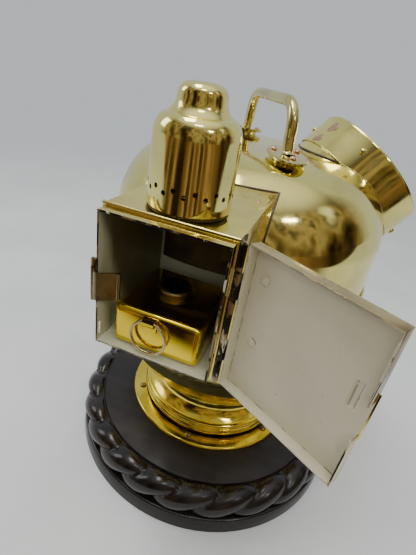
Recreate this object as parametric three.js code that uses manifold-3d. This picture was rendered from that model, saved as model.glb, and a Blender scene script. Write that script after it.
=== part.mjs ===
// A brass boat's binnacle with a side oil lamp: wooden plinth, turned foot, compass in gimbals, and a
// lift-off hood that carries the viewing window, the handle and the lamp box.
// Millimetres, +Z up. The origin is the middle of the plinth's underside, on the axis of the hood. The lamp
// box faces -Y, and its door is hinged on the +X side and stands open.
import * as THREE from 'three';
import { RoundedBoxGeometry } from 'three/addons/geometries/RoundedBoxGeometry.js';
import { mergeVertices } from 'three/addons/utils/BufferGeometryUtils.js';
import Module from 'manifold-3d';

const wasm = await Module();
wasm.setup();

// ---- driving dimensions -------------------------------------------------------------------------

const GAP = 0.3; // clearance between pieces that touch
const SHEET = 1.2; // spun brass sheet

const PLINTH_R = 173;
const PLINTH_TOP = 50;
const BAND_TOP = 19; // the plain band below the carved rope
const ROPE_R = 156; // middle of the rope
const ROPE_Z = 36;
const ROPE_SECTION = 16.5;
const ROPE_LOBES = 23;
const FIRST_LOBE = 13; // degrees from +X

const FLANGE_R = 108.7;
const FLANGE_T = 5;
const FLANGE_HOLE_R = 60;
const FLANGE_SCREWS = 6;
const FLANGE_SCREW_R = 97;
const FIRST_FLANGE_SCREW = -27.5; // degrees from +X

const FOOT_TOP = 94;
const BOWL_R = 137.9;
const BOWL_BOTTOM_R = 74;
const BOWL_WIDEST_Z = 230;
const BOWL_TOP = 268;
const BOWL_SIDES = 36; // facets round the bowl and what lies against it

const HOOD_R = 139.7;
const HOOD_BOTTOM = 262;
const HOOD_SHOULDER = 318;
const HOOD_TOP = 386;
const HOOD_SIDES = 44; // facets round everything that must follow the hood

const CARD_PIVOT_Z = 250; // height of the gimbal axes
const GIMBAL_R = 110;
const COMPASS_R = 92;
const CARD_R = 78;

const WINDOW_AZIMUTH = 32; // degrees from +X
const WINDOW_RISE = 48.3; // degrees above level
const WINDOW_START_Z = 231; // where the window's axis leaves the hood's axis
const COLLAR_R = 70.4;
const COLLAR_FROM = 157; // distances along the window's axis
const COLLAR_TO = 193;
const NECK_R = 68.8;

const HANDLE_AZIMUTH = -60;
const HANDLE_LEG = 64; // from the hood's axis to the top of each upright
const HANDLE_FOOT = 68; // from the hood's axis to the middle of each foot
const HANDLE_TOP = 430.5;
const HANDLE_CORNER = 27;
const HANDLE_BAR_R = 5;
const FOOT_PLATE = 3;
const FOOT_Z = 389.4; // middle of each foot plate
const FOOT_TILT = 6; // each foot plate leans down and outwards
const FOOT_PAD_R = 12; // boss under each foot plate, down to the hood
const FOOT_PAD_DEEP = 18;
const FOOT_LONG = 25; // half the length and half the width of the oval plates
const FOOT_WIDE = 17;

const BOX_FRONT = -228; // front of the neck that the door closes over
const BOX_SHOULDER = -220.5; // front of the box's outer walls
const BOX_HALF = 41.2;
const BOX_LOW = 272.6;
const BOX_HIGH = 368.6;
const NECK_HALF = 40;
const NECK_LOW = 274;
const NECK_HIGH = 367;
const BOX_FLOOR = 275.4;
const LIGHT_HALF = 34; // half the width of the opening that lights the compass
const LIGHT_LOW = 307;
const LIGHT_HIGH = 352;

const LAMP_Y = -192.5; // axis of the chimney
const CHIMNEY_R = 25.4;
const CHIMNEY_LOW = BOX_HIGH + 2.6;
const CHIMNEY_TOP = 437.5;
const VENTS = 13; // holes in each of two rows
const VENT_R = 1.5;
const FIRST_VENT = 5.9; // degrees from +X

const HINGE_X = 44;
const HINGE_Y = -221.4;
const KNUCKLE_R = 1.9;
const PIN_R = 0.85;
const KNUCKLE_BREAKS = [272.5, 290, 306.2, 333.9, 351.6, 368.4]; // from the bottom up
const DOOR_OPEN = 150.3; // degrees that the door stands open
const DOOR_HALF = 41.6;
const DOOR_LOW = 272;
const DOOR_HIGH = 369;
const DOOR_FACE = -230.4;
const DOOR_REAR = -222.6;

const HASP_X = -46;
const HASP_Y = -222;
const HASP_LOW = 307.3;
const HASP_HIGH = 326.9;
const HASP_REACH = 10.1; // from the pin to the strap, square to the closed door
const HASP_LENGTH = 14.5;
const HASP_LEAN = 36; // degrees that it leans into the open box

const TANK_HALF = 30.5;
const TANK_FRONT = -222.9;
const TANK_BACK = -160;
const TANK_LOW = BOX_FLOOR + GAP;
const TANK_HIGH = 305.5;
const BURNER_X = -3;
const BURNER_Y = -187.8; // the burner stands a little behind the chimney's axis
const BURNER_R = 9.6;
const RING_X = -3;
const RING_Z = 302;
const RING_R = 12;

// ---- materials ----------------------------------------------------------------------------------

function metal(name, color, roughness) {
  return new THREE.MeshStandardMaterial({ name, color, roughness, metalness: 1 });
}

const brass = metal('brass', 0xd8b45a, 0.16);
const yellowBrass = metal('yellow_brass', 0xe0c040, 0.2);
const copper = metal('copper', 0xc07a5c, 0.3);
const darkBrass = metal('dark_brass', 0x4a3a28, 0.4);
const steel = metal('steel', 0x777777, 0.45);
const lead = metal('lead', 0x55565a, 0.6);
const wood = new THREE.MeshStandardMaterial({ name: 'dark_wood', color: 0x231a1a, roughness: 0.4 });
const cream = new THREE.MeshStandardMaterial({ name: 'cream_paint', color: 0xcfcbb8, roughness: 0.5 });
const card = new THREE.MeshStandardMaterial({ name: 'card', color: 0xf2efe2, roughness: 0.7 });
const glass = new THREE.MeshStandardMaterial({ name: 'glass', color: 0xdfeeee, roughness: 0.05 });

// ---- helpers ------------------------------------------------------------------------------------

const radians = THREE.MathUtils.degToRad;

// A closed geometry as a solid, with its faces turned outward whichever way its outline ran.
function solid(geometry) {
  const open = geometry.index ? geometry.toNonIndexed() : geometry.clone();
  const bare = new THREE.BufferGeometry();
  bare.setAttribute('position', open.getAttribute('position'));
  const merged = mergeVertices(bare, 1e-4);
  const spots = merged.getAttribute('position').array;
  const corner = (i) => new THREE.Vector3(spots[3 * i], spots[3 * i + 1], spots[3 * i + 2]);
  const faces = [];
  let volume = 0;
  for (let i = 0; i < merged.index.count; i += 3) {
    const [a, b, c] = merged.index.array.slice(i, i + 3);
    if (a === b || b === c || c === a) continue;
    faces.push(a, b, c);
    volume += corner(a).dot(corner(b).cross(corner(c)));
  }
  if (volume < 0) faces.reverse();
  const mesh = { numProp: 3, vertProperties: spots, triVerts: new Uint32Array(faces) };
  return new wasm.Manifold(new wasm.Mesh(mesh));
}

function named(name, shape, material) {
  const made = shape.getMesh();
  const geometry = new THREE.BufferGeometry();
  geometry.setAttribute('position', new THREE.BufferAttribute(made.vertProperties, 3));
  geometry.setIndex(new THREE.BufferAttribute(made.triVerts, 1));
  const mesh = new THREE.Mesh(geometry.toNonIndexed(), material);
  mesh.geometry.computeVertexNormals();
  mesh.name = name;
  return mesh;
}

// An outline of [radius, height] pairs spun about Z. It closes on itself, or starts and ends on the axis.
function spun(outline, segments = 32) {
  const points = outline.map(([r, z]) => new THREE.Vector2(r, z));
  if (outline[0][0] > 0) points.push(points[0].clone());
  return new THREE.LatheGeometry(points, segments).rotateX(Math.PI / 2);
}

function tube(inner, outer, low, high, segments = 32) {
  return spun([[inner, low], [outer, low], [outer, high], [inner, high]], segments);
}

function disc(radius, low, high, segments = 32) {
  return spun([[0, low], [radius, low], [radius, high], [0, high]], segments);
}

function block(x, y, z) {
  const size = [x[1] - x[0], y[1] - y[0], z[1] - z[0]];
  const middle = [(x[0] + x[1]) / 2, (y[0] + y[1]) / 2, (z[0] + z[1]) / 2];
  return new THREE.BoxGeometry(...size).translate(...middle);
}

// A round bar from one point to another.
function bar(from, to, radius, sides = 10) {
  const start = new THREE.Vector3(...from);
  const along = new THREE.Vector3(...to).sub(start);
  const turn = new THREE.Quaternion().setFromUnitVectors(
    new THREE.Vector3(0, 1, 0),
    along.clone().normalize()
  );
  const place = new THREE.Matrix4().compose(
    start.clone().addScaledVector(along, 0.5),
    turn,
    new THREE.Vector3(1, 1, 1)
  );
  return new THREE.CylinderGeometry(radius, radius, along.length(), sides).applyMatrix4(place);
}

// The head of a rivet or screw: a low dome that stands on z = 0.
function domeHead(radius, height) {
  return spun([
    [0, 0], [radius, 0], [radius * 0.75, height * 0.7], [0, height],
  ], 10);
}

function polar(radius, degrees, z = 0) {
  return [radius * Math.cos(radians(degrees)), radius * Math.sin(radians(degrees)), z];
}

function joined(geometries) {
  return geometries.map(solid).reduce((all, next) => all.add(next));
}

// ---- outlines shared by several pieces -----------------------------------------------------------

// Outside of the hood grown by a margin: straight skirt, tight shoulder and nearly flat crown.
function hoodOutline(margin, bottom) {
  const steps = 7;
  const outline = [[HOOD_R + margin, bottom]];
  for (let i = 0; i <= steps; i++) {
    const t = (Math.PI / 2) * (i / steps);
    const r = (HOOD_R + margin) * Math.cos(t) ** 0.4;
    const z = HOOD_SHOULDER + (HOOD_TOP + margin - HOOD_SHOULDER) * Math.sin(t) ** 1.29;
    outline.push([i === steps ? 0 : r, z]);
  }
  return outline;
}

// The hood filled in, for trimming what meets it. The frame places it for a piece that has its own.
function hoodFilled(margin, frame = new THREE.Matrix4()) {
  return solid(spun([[0, 200], ...hoodOutline(margin, 200)], HOOD_SIDES).applyMatrix4(frame));
}

function bowlRadius(z, margin) {
  const rise = (BOWL_WIDEST_Z - FOOT_TOP) / Math.sqrt(1 - (BOWL_BOTTOM_R / BOWL_R) ** 2);
  const down = Math.max(0, BOWL_WIDEST_Z - z) / (rise + margin);
  return (BOWL_R + margin) * Math.sqrt(1 - down * down);
}

// The window's axis as a transform: local Z runs out along it.
const windowFrame = new THREE.Matrix4()
  .makeTranslation(0, 0, WINDOW_START_Z)
  .multiply(new THREE.Matrix4().makeRotationZ(radians(WINDOW_AZIMUTH)))
  .multiply(new THREE.Matrix4().makeRotationY(radians(90 - WINDOW_RISE)));
const hoodFromWindow = windowFrame.clone().invert();

// ---- plinth and foot ----------------------------------------------------------------------------

// Centres of the flange screws' holes, in degrees.
const flangeScrewAngles = Array.from(
  { length: FLANGE_SCREWS },
  (_, i) => FIRST_FLANGE_SCREW + (360 / FLANGE_SCREWS) * i
);

function plinth() {
  const holes = flangeScrewAngles.map((angle) =>
    bar(polar(FLANGE_SCREW_R, angle, PLINTH_TOP - 15), polar(FLANGE_SCREW_R, angle, 60), 2.5, 6)
  );
  return solid(turnedPlinth()).subtract(joined(holes));
}

// A turned disc whose edge is carved as a rope: the rope's section swells and pinches once for each lobe,
// and leans round like a laid rope.
function turnedPlinth() {
  const around = ROPE_LOBES * 3;
  const ropeAngles = [-55, -25, 5, 35, 65, 100];
  const outline = (i) => [
    [0, 0], [PLINTH_R, 0], [PLINTH_R - 2, BAND_TOP], [ROPE_R + 6, BAND_TOP + 1],
    ...ropeAngles.map((angle) => ropeEdge(i / 3, angle)),
    [ROPE_R - 9, PLINTH_TOP], [0, PLINTH_TOP],
  ];
  const rings = Array.from({ length: around }, (_, i) => outline(i));
  const spot = (i, j) => {
    const [r, z] = rings[i % around][j];
    return polar(r, FIRST_LOBE + (360 * i) / around, z);
  };
  const spots = [];
  for (let i = 0; i < around; i++) {
    for (let j = 0; j < rings[0].length - 1; j++) {
      spots.push(...spot(i, j), ...spot(i + 1, j), ...spot(i + 1, j + 1));
      spots.push(...spot(i, j), ...spot(i + 1, j + 1), ...spot(i, j + 1));
    }
  }
  const geometry = new THREE.BufferGeometry();
  geometry.setAttribute('position', new THREE.Float32BufferAttribute(spots, 3));
  return geometry;
}

// Radius and height on the rope, so many lobes round and so many degrees up its section.
function ropeEdge(lobes, degrees) {
  const lean = 0.4 * Math.sin(radians(degrees));
  const swell = Math.cos(2 * Math.PI * (lobes - lean));
  const [out, up] = polar(ROPE_SECTION * (0.87 + 0.13 * swell), degrees);
  return [ROPE_R + out, ROPE_Z + up];
}

function flangeScrew() {
  const stem = bar([0, 0, -18], [0, 0, 0.5], 1.7, 6);
  return joined([domeHead(4.2, 2.4), stem]);
}

function baseFlange() {
  const low = PLINTH_TOP + GAP;
  const high = low + FLANGE_T;
  const plate = solid(spun([
    [FLANGE_HOLE_R, low], [FLANGE_R, low], [FLANGE_R, high - 2], [FLANGE_R - 2, high],
    [FLANGE_HOLE_R, high],
  ], 36));
  const holes = flangeScrewAngles.map((angle) =>
    bar(polar(FLANGE_SCREW_R, angle, low - 1), polar(FLANGE_SCREW_R, angle, high + 1), 2.5, 6)
  );
  return plate.subtract(joined(holes));
}

function footRing() {
  const low = PLINTH_TOP + FLANGE_T + 2 * GAP;
  return solid(spun([
    [62, low], [86, low], [86, low + 3], [91.6, low + 3], [93, low + 5], [93, low + 11],
    [91, low + 14], [92, low + 17], [88.6, low + 19.5], [88.8, low + 23],
    [83.6, low + 27], [84.2, low + 30], [76, FOOT_TOP - 1], [62, FOOT_TOP - 1],
  ]));
}

// ---- bowl and compass ---------------------------------------------------------------------------

function binnacleBowl() {
  const floor = FOOT_TOP + GAP;
  const outline = [[0, floor]];
  const levels = [floor, 112, 142, 184, BOWL_WIDEST_Z, BOWL_TOP];
  for (const z of levels) outline.push([bowlRadius(z, 0), z]);
  for (const z of levels.toReversed()) {
    outline.push([bowlRadius(z, -SHEET), Math.max(z, floor + SHEET)]);
  }
  outline.push([0, floor + SHEET]);
  return solid(spun(outline, BOWL_SIDES));
}

// The bead round the top of the bowl, which the hood stands on.
function bowlRim() {
  const low = HOOD_BOTTOM - 4.6;
  const inner = BOWL_R + GAP;
  return solid(spun([
    [inner, low], [inner + 2.4, low], [inner + 3.4, low + 2.1], [inner + 2.4, low + 4.2],
    [inner, low + 4.2],
  ], BOWL_SIDES));
}

// A bracket on the bowl's wall that takes one of the gimbal ring's pins.
function gimbalBracket(side) {
  const tip = side * (GIMBAL_R + 7);
  const wall = side * (BOWL_R - SHEET - GAP);
  const x = [Math.min(tip, wall), Math.max(tip, wall)];
  const arm = solid(block(x, [-9, 9], [CARD_PIVOT_Z - 8, CARD_PIVOT_Z + 5]));
  const inside = solid(disc(BOWL_R - SHEET - GAP, 200, 290, BOWL_SIDES));
  const hole = bar([tip - side, 0, CARD_PIVOT_Z], [tip + 10 * side, 0, CARD_PIVOT_Z], 2.9);
  return arm.intersect(inside).subtract(solid(hole));
}

function gimbalRing() {
  const band = solid(tube(GIMBAL_R - 5, GIMBAL_R, CARD_PIVOT_Z - 4, CARD_PIVOT_Z + 4));
  const reach = GIMBAL_R + 5;
  const holes = [
    bar([-reach, 0, CARD_PIVOT_Z], [reach, 0, CARD_PIVOT_Z], 2.5 + GAP),
    bar([0, -reach, CARD_PIVOT_Z], [0, reach, CARD_PIVOT_Z], 2.5 + GAP),
  ];
  return band.subtract(joined(holes));
}

function gimbalPin(side) {
  return solid(bar(
    [side * (GIMBAL_R - 5), 0, CARD_PIVOT_Z],
    [side * (GIMBAL_R + 14), 0, CARD_PIVOT_Z],
    2.5
  ));
}

function compassPin(side) {
  return solid(bar(
    [0, side * (COMPASS_R - 2), CARD_PIVOT_Z],
    [0, side * (GIMBAL_R - 1), CARD_PIVOT_Z],
    2.5
  ));
}

function compassBowl() {
  const top = CARD_PIVOT_Z + 5.4;
  const shell = solid(spun([
    [0, 176], [30, 176], [70, 189], [COMPASS_R, 224], [COMPASS_R, top - 2.2],
    [COMPASS_R + 3, top - 2.2], [COMPASS_R + 3, top], [COMPASS_R - 1.6, top],
    [COMPASS_R - 1.6, 225], [69, 190.6], [29.6, 177.6], [0, 177.6],
  ]));
  const reach = COMPASS_R + 5;
  const holes = bar([0, -reach, CARD_PIVOT_Z], [0, reach, CARD_PIVOT_Z], 2.5 + GAP);
  return shell.subtract(solid(holes));
}

function compassWeight() {
  return solid(spun([[0, 164], [22, 164], [27, 169], [27, 176 - GAP], [0, 176 - GAP]], 24));
}

function compassCard() {
  return solid(disc(CARD_R, CARD_PIVOT_Z - 6, CARD_PIVOT_Z - 5));
}

function cardPivot() {
  const top = CARD_PIVOT_Z - 6 - GAP;
  return solid(spun([[0, 177.6 + GAP], [7, 177.6 + GAP], [3, 186], [2.4, 238], [0, top]], 12));
}

function cardMagnet(side) {
  const high = CARD_PIVOT_Z - 6 - GAP;
  const y = [16 * side - 3, 16 * side + 3];
  return solid(block([-32, 32], y, [high - 3, high]));
}

function compassGlass() {
  return solid(disc(COMPASS_R - 2.2, CARD_PIVOT_Z + 2.9, CARD_PIVOT_Z + 5.4));
}

function compassBezel() {
  const low = CARD_PIVOT_Z + 5.8;
  return solid(spun([
    [COMPASS_R - 6, low], [COMPASS_R + 3, low], [COMPASS_R + 3, low + 3],
    [COMPASS_R - 3, low + 5], [COMPASS_R - 6, low + 3],
  ]));
}

// ---- hood ---------------------------------------------------------------------------------------

function hoodShell() {
  const outside = hoodOutline(0, HOOD_BOTTOM);
  const inside = hoodOutline(-SHEET, HOOD_BOTTOM).reverse();
  const shell = solid(spun([...outside, ...inside], HOOD_SIDES));
  const viewing = solid(disc(NECK_R - 4, 60, 260).applyMatrix4(windowFrame));
  const light = solid(block([-LIGHT_HALF, LIGHT_HALF], [-170, -90], [LIGHT_LOW, LIGHT_HIGH]));
  return shell.subtract(viewing).subtract(light);
}

function hoodBead() {
  const inner = HOOD_R + GAP;
  const low = HOOD_BOTTOM + 0.2;
  return solid(spun([
    [inner, low], [inner + 1.4, low], [inner + 2.4, low + 2], [inner + 1.4, low + 4],
    [inner, low + 4],
  ], HOOD_SIDES));
}

// The short tube soldered to the hood, trimmed to its surface.
function windowNeck() {
  const pipe = solid(tube(NECK_R - 1.5, NECK_R, 80, COLLAR_FROM + 15));
  return pipe.subtract(hoodFilled(GAP, hoodFromWindow));
}

// The collar slides over the neck and ends in a rolled lip. It is cut away where it meets the hood.
function windowCollar() {
  const inner = NECK_R + GAP;
  const collar = spun([
    [inner, COLLAR_FROM], [COLLAR_R, COLLAR_FROM], [COLLAR_R, COLLAR_TO - 1], [COLLAR_R - 1, COLLAR_TO],
    [COLLAR_R - 6, COLLAR_TO], [COLLAR_R - 6, COLLAR_TO - 1.4], [inner, COLLAR_TO - 1.4],
  ]);
  return solid(collar).subtract(hoodFilled(GAP, hoodFromWindow));
}

function windowGlass() {
  return solid(disc(NECK_R - 0.3, COLLAR_FROM + 15.4, COLLAR_FROM + 18.4));
}

function windowGlassRing() {
  const low = COLLAR_FROM + 18.8;
  return solid(tube(NECK_R - 5, NECK_R - 0.2, low, low + 3));
}

// Distance along the window's axis, and degrees round it from its lowest side.
const collarScrews = [[178.8, 224.8], [173.3, 155.7], [166.5, -43]];

function collarScrew([along, around]) {
  const head = domeHead(2.6, 2).rotateY(Math.PI / 2);
  return solid(head.translate(COLLAR_R + GAP, 0, along).rotateZ(radians(around)));
}

// ---- handle -------------------------------------------------------------------------------------

// A D of round bar standing on two flat oval feet, each with a boss down to the hood.
function handle() {
  const feet = [-1, 1].map((side) => {
    const oval = disc(1, -FOOT_PLATE / 2, FOOT_PLATE / 2, 20).scale(FOOT_LONG, FOOT_WIDE, 1);
    const pad = disc(FOOT_PAD_R, -FOOT_PAD_DEEP, 0, 16);
    return solid(onFoot(oval, side, 0, 0)).add(solid(onFoot(pad, side, 0, 0)));
  });
  const whole = solid(handleBar()).add(feet[0]).add(feet[1]).rotate([0, 0, HANDLE_AZIMUTH]);
  return whole.subtract(hoodFilled(GAP));
}

// Places a shape made at the origin on one foot's sloping plate, along and aside from its middle.
function onFoot(shape, side, along, aside) {
  shape.translate(along, aside, 0).rotateY(radians(FOOT_TILT));
  shape.translate(HANDLE_FOOT, 0, FOOT_Z);
  return side > 0 ? shape : shape.rotateZ(Math.PI);
}

function handleBar() {
  const route = new THREE.CurvePath();
  const spot = (s, z) => new THREE.Vector3(s, 0, z);
  const shoulder = HANDLE_TOP - HANDLE_CORNER;
  const inset = HANDLE_LEG - HANDLE_CORNER;
  const uprights = [-1, 1].map((side) => ({
    base: spot(side * HANDLE_FOOT, FOOT_Z),
    bend: spot(side * HANDLE_LEG, shoulder),
    corner: spot(side * HANDLE_LEG, HANDLE_TOP),
    level: spot(side * inset, HANDLE_TOP),
  }));
  const [left, right] = uprights;
  route.add(new THREE.LineCurve3(left.base, left.bend));
  route.add(new THREE.QuadraticBezierCurve3(left.bend, left.corner, left.level));
  route.add(new THREE.LineCurve3(left.level, right.level));
  route.add(new THREE.QuadraticBezierCurve3(right.level, right.corner, right.bend));
  route.add(new THREE.LineCurve3(right.bend, right.base));
  const section = new THREE.Shape().absarc(0, 0, HANDLE_BAR_R, 0, 2 * Math.PI);
  return new THREE.ExtrudeGeometry(section, {
    extrudePath: route, steps: 26, curveSegments: 4, bevelEnabled: false,
  });
}

// Three rivets in each foot: which foot, and the distance along and aside from its middle.
const rivetSpots = [[1, 14, 0], [1, -9, -10], [1, -9, 12], [-1, 14, 0], [-1, -9, -10], [-1, -9, 12]];

function handleRivet([side, along, aside]) {
  const head = domeHead(3, 2).translate(0, 0, FOOT_PLATE / 2 + GAP);
  return solid(onFoot(head, side, along, aside).rotateZ(radians(HANDLE_AZIMUTH)));
}

// ---- lamp box -----------------------------------------------------------------------------------

// Walls that run back to the hood, and a narrower neck in front for the door to close over.
function lampBox() {
  const back = -100;
  const walls = solid(block([-BOX_HALF, BOX_HALF], [BOX_SHOULDER, back], [BOX_LOW, BOX_HIGH]));
  const neck = solid(block([-NECK_HALF, NECK_HALF], [BOX_FRONT, -210], [NECK_LOW, NECK_HIGH]));
  const room = block(
    [-BOX_HALF + SHEET, BOX_HALF - SHEET], [-212, back + 1], [BOX_FLOOR, BOX_HIGH - SHEET]
  );
  const mouth = block(
    [-NECK_HALF + SHEET, NECK_HALF - SHEET], [BOX_FRONT - 1, -205], [BOX_FLOOR, NECK_HIGH - SHEET]
  );
  const bead = bar(
    [-BOX_HALF, BOX_SHOULDER + 0.6, BOX_HIGH], [BOX_HALF, BOX_SHOULDER + 0.6, BOX_HIGH], 1.3, 8
  );
  const vent = disc(20.5, BOX_HIGH - 5, BOX_HIGH + 5, 28).translate(0, LAMP_Y, 0);
  const slot = (side) =>
    block([side * 39.4 - 2, side * 39.4 + 2], [BOX_FRONT + 2, BOX_FRONT + 4.2], [279, 288.5]);
  return walls.add(neck).add(solid(bead))
    .subtract(solid(room)).subtract(solid(mouth)).subtract(solid(vent))
    .subtract(solid(slot(-1))).subtract(solid(slot(1)))
    .subtract(hoodFilled(GAP));
}

// A sheet bent to the hood, inside the box, with the opening that lets light through to the compass.
function lampBackPlate() {
  const inner = HOOD_R + 0.6;
  const curve = solid(tube(inner, inner + 0.8, BOX_FLOOR + GAP, BOX_HIGH - SHEET - GAP, 64));
  const face = block([-BOX_HALF + SHEET + GAP, BOX_HALF - SHEET - GAP], [-160, -100], [270, 370]);
  const opening = block([-LIGHT_HALF, LIGHT_HALF], [-160, -100], [LIGHT_LOW, LIGHT_HIGH]);
  return curve.intersect(solid(face)).subtract(solid(opening));
}

function lampPane() {
  const inner = HOOD_R + 0.6 + 0.8 + GAP;
  const curve = solid(tube(inner, inner + 1.6, LIGHT_LOW - 3, LIGHT_HIGH + 3, 64));
  return curve.intersect(solid(block([-36.5, 36.5], [-160, -100], [270, 370])));
}

function chimneySeat() {
  const low = BOX_HIGH + GAP;
  const seat = spun([
    [21.2, low], [CHIMNEY_R - 0.6, low], [CHIMNEY_R - 0.6, low + 2], [CHIMNEY_R - 2.4, low + 2],
    [CHIMNEY_R - 2.4, low + 8], [21.2, low + 8],
  ], 24);
  return solid(seat.translate(0, LAMP_Y, 0));
}

// ---- chimney ------------------------------------------------------------------------------------

// Outside of the chimney, from its foot to the crown of the cap.
function chimneyOutline(margin) {
  const rises = [
    [CHIMNEY_R, 0], [25.2, 36], [24, 44], [22.4, 47.2], [17.8, 52],
    [14.2, 54.8], [13.9, 59], [11.8, 63.6],
  ];
  const outline = rises.map(([r, rise]) => [r + margin, CHIMNEY_LOW + rise]);
  return [...outline, [0, CHIMNEY_TOP + margin]];
}

function chimney() {
  const wall = 0.9;
  const shell = solid(spun([...chimneyOutline(0), ...chimneyOutline(-wall).reverse()], 2 * VENTS));
  const holes = [];
  for (let i = 0; i < VENTS; i++) {
    for (const row of [0, 1]) {
      const angle = FIRST_VENT + (360 / VENTS) * (i + row / 2);
      const z = CHIMNEY_LOW + 10.5 + 2.5 * row;
      holes.push(bar(polar(CHIMNEY_R - 4, angle, z), polar(CHIMNEY_R + 4, angle, z), VENT_R, 6));
    }
  }
  return shell.subtract(joined(holes)).translate(0, LAMP_Y, 0);
}

// ---- hinge --------------------------------------------------------------------------------------

// One leaf of the hinge about the pin's axis: a plate to one side, with every other knuckle. first is the
// lowest knuckle that it owns, side is +1 for the box's leaf, which runs back, and -1 for the door's.
function hingeLeaf(first, side, near, far) {
  const plateX = [near, near + 0.9];
  const owned = (i) => i % 2 === first;
  const pieces = [];
  const low = KNUCKLE_BREAKS[0];
  const high = KNUCKLE_BREAKS.at(-1);
  const y = (a, b) => [Math.min(side * a, side * b), Math.max(side * a, side * b)];
  pieces.push(block(plateX, y(2.8, far), [low, high]));
  for (let i = 0; i < KNUCKLE_BREAKS.length - 1; i++) {
    if (!owned(i)) continue;
    const from = KNUCKLE_BREAKS[i] + GAP;
    const to = KNUCKLE_BREAKS[i + 1] - GAP;
    pieces.push(bar([0, 0, from], [0, 0, to], KNUCKLE_R));
    pieces.push(block(plateX, y(0, 3), [from, to]));
  }
  const bore = bar([0, 0, low - 5], [0, 0, high + 5], PIN_R + GAP);
  return joined(pieces).subtract(solid(bore));
}

function hingePin() {
  return solid(bar([0, 0, KNUCKLE_BREAKS[0] - 0.6], [0, 0, KNUCKLE_BREAKS.at(-1) + 1.2], PIN_R, 8));
}

// ---- door: built closed, about the hinge's axis ---------------------------------------------------

const doorX = (x) => x - HINGE_X;
const doorY = (y) => y - HINGE_Y;

// A shallow tray whose rim closes over the box's neck. Its free rim is cut away where the hasp leans in.
function doorPan() {
  const rim = 1;
  const face = 0.6;
  const outer = block(
    [doorX(-DOOR_HALF), doorX(DOOR_HALF)],
    [doorY(DOOR_FACE), doorY(DOOR_REAR)],
    [DOOR_LOW, DOOR_HIGH]
  );
  const inner = block(
    [doorX(-DOOR_HALF + rim), doorX(DOOR_HALF - rim)],
    [doorY(DOOR_FACE + face), doorY(DOOR_REAR + 2)],
    [DOOR_LOW + rim, DOOR_HIGH - rim]
  );
  const cutaway = block(
    [doorX(-DOOR_HALF - 2), doorX(-DOOR_HALF + 2 * rim)],
    [doorY(DOOR_FACE + face), doorY(DOOR_REAR + 2)],
    [HASP_LOW - 1, HASP_HIGH + 1]
  );
  return solid(outer).subtract(solid(inner)).subtract(solid(cutaway));
}

// A strip on the outer face, at the free edge, that takes the wear of the hasp.
function doorKeeper() {
  const face = DOOR_FACE - GAP;
  return solid(block(
    [doorX(-DOOR_HALF - 0.8), doorX(-36)],
    [doorY(face - 0.6), doorY(face)],
    [HASP_LOW - 5, HASP_HIGH + 5]
  ));
}

// ---- hasp: built square to the closed door, about its pin -----------------------------------------

function hasp() {
  const barrel = bar([0, 0, HASP_LOW], [0, 0, HASP_HIGH], 1.8);
  const strap = bentStrap().translate(0, 0, HASP_LOW);
  const curl = bar(
    [HASP_LENGTH, -HASP_REACH - 0.9, HASP_LOW], [HASP_LENGTH, -HASP_REACH - 0.9, HASP_HIGH], 1.4
  );
  const bore = bar([0, 0, HASP_LOW - 5], [0, 0, HASP_HIGH + 5], 0.8 + GAP);
  return joined([barrel, strap, curl]).subtract(solid(bore));
}

// A strip 1 mm thick that leaves the barrel, turns a rounded corner and runs across the door.
function bentStrap() {
  const half = 0.5;
  const bend = 3;
  const turn = -HASP_REACH + bend;
  const edge = new THREE.Shape();
  edge.moveTo(-half, -1);
  edge.absarc(bend, turn, bend + half, Math.PI, 1.5 * Math.PI);
  edge.lineTo(HASP_LENGTH, -HASP_REACH - half);
  edge.lineTo(HASP_LENGTH, -HASP_REACH + half);
  edge.absarc(bend, turn, bend - half, 1.5 * Math.PI, Math.PI, true);
  edge.lineTo(half, -1);
  return new THREE.ExtrudeGeometry(edge, {
    depth: HASP_HIGH - HASP_LOW, curveSegments: 6, bevelEnabled: false,
  });
}

// A plate on the box's side wall with an ear above and below the hasp.
function haspBracket() {
  const wall = -BOX_HALF - GAP - HASP_X;
  const plateX = [wall - 0.9, wall];
  const plate = block(plateX, [3, 16], [HASP_LOW - 5, HASP_HIGH + 5]);
  const ears = [[HASP_LOW - 5, HASP_LOW - GAP], [HASP_HIGH + GAP, HASP_HIGH + 5]].flatMap((z) => [
    bar([0, 0, z[0]], [0, 0, z[1]], 1.8),
    block([0, wall], [0.6, 1.6], z),
    block(plateX, [0.6, 3.5], z),
  ]);
  const bore = bar([0, 0, HASP_LOW - 9], [0, 0, HASP_HIGH + 9], 0.8 + GAP);
  return joined([plate, ...ears]).subtract(solid(bore));
}

function haspPin() {
  return solid(bar([0, 0, HASP_LOW - 5.6], [0, 0, HASP_HIGH + 5.6], 0.8, 8));
}

// ---- oil tank -----------------------------------------------------------------------------------

function roundedBlock(margin, radius, steps) {
  const size = [
    2 * (TANK_HALF - margin),
    TANK_BACK - TANK_FRONT - 2 * margin,
    TANK_HIGH - TANK_LOW - 2 * margin,
  ];
  const middle = [0, (TANK_FRONT + TANK_BACK) / 2, (TANK_HIGH + TANK_LOW) / 2];
  return new RoundedBoxGeometry(...size, steps, radius).translate(...middle);
}

function oilTank() {
  const opening = disc(BURNER_R, TANK_HIGH - 6, TANK_HIGH + 4, 20)
    .translate(BURNER_X, BURNER_Y, 0);
  return solid(roundedBlock(0, 5, 2)).subtract(solid(roundedBlock(1, 4, 1))).subtract(solid(opening));
}

function burnerCollar() {
  const low = TANK_HIGH + GAP;
  const collar = spun([
    [BURNER_R, low], [BURNER_R + 4.4, low], [BURNER_R + 4.4, low + 1], [BURNER_R + 2, low + 1.6],
    [BURNER_R + 2.6, low + 3], [BURNER_R + 2, low + 4.4], [BURNER_R, low + 4.4],
  ], 20);
  return solid(collar.translate(BURNER_X, BURNER_Y, 0));
}

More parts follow.
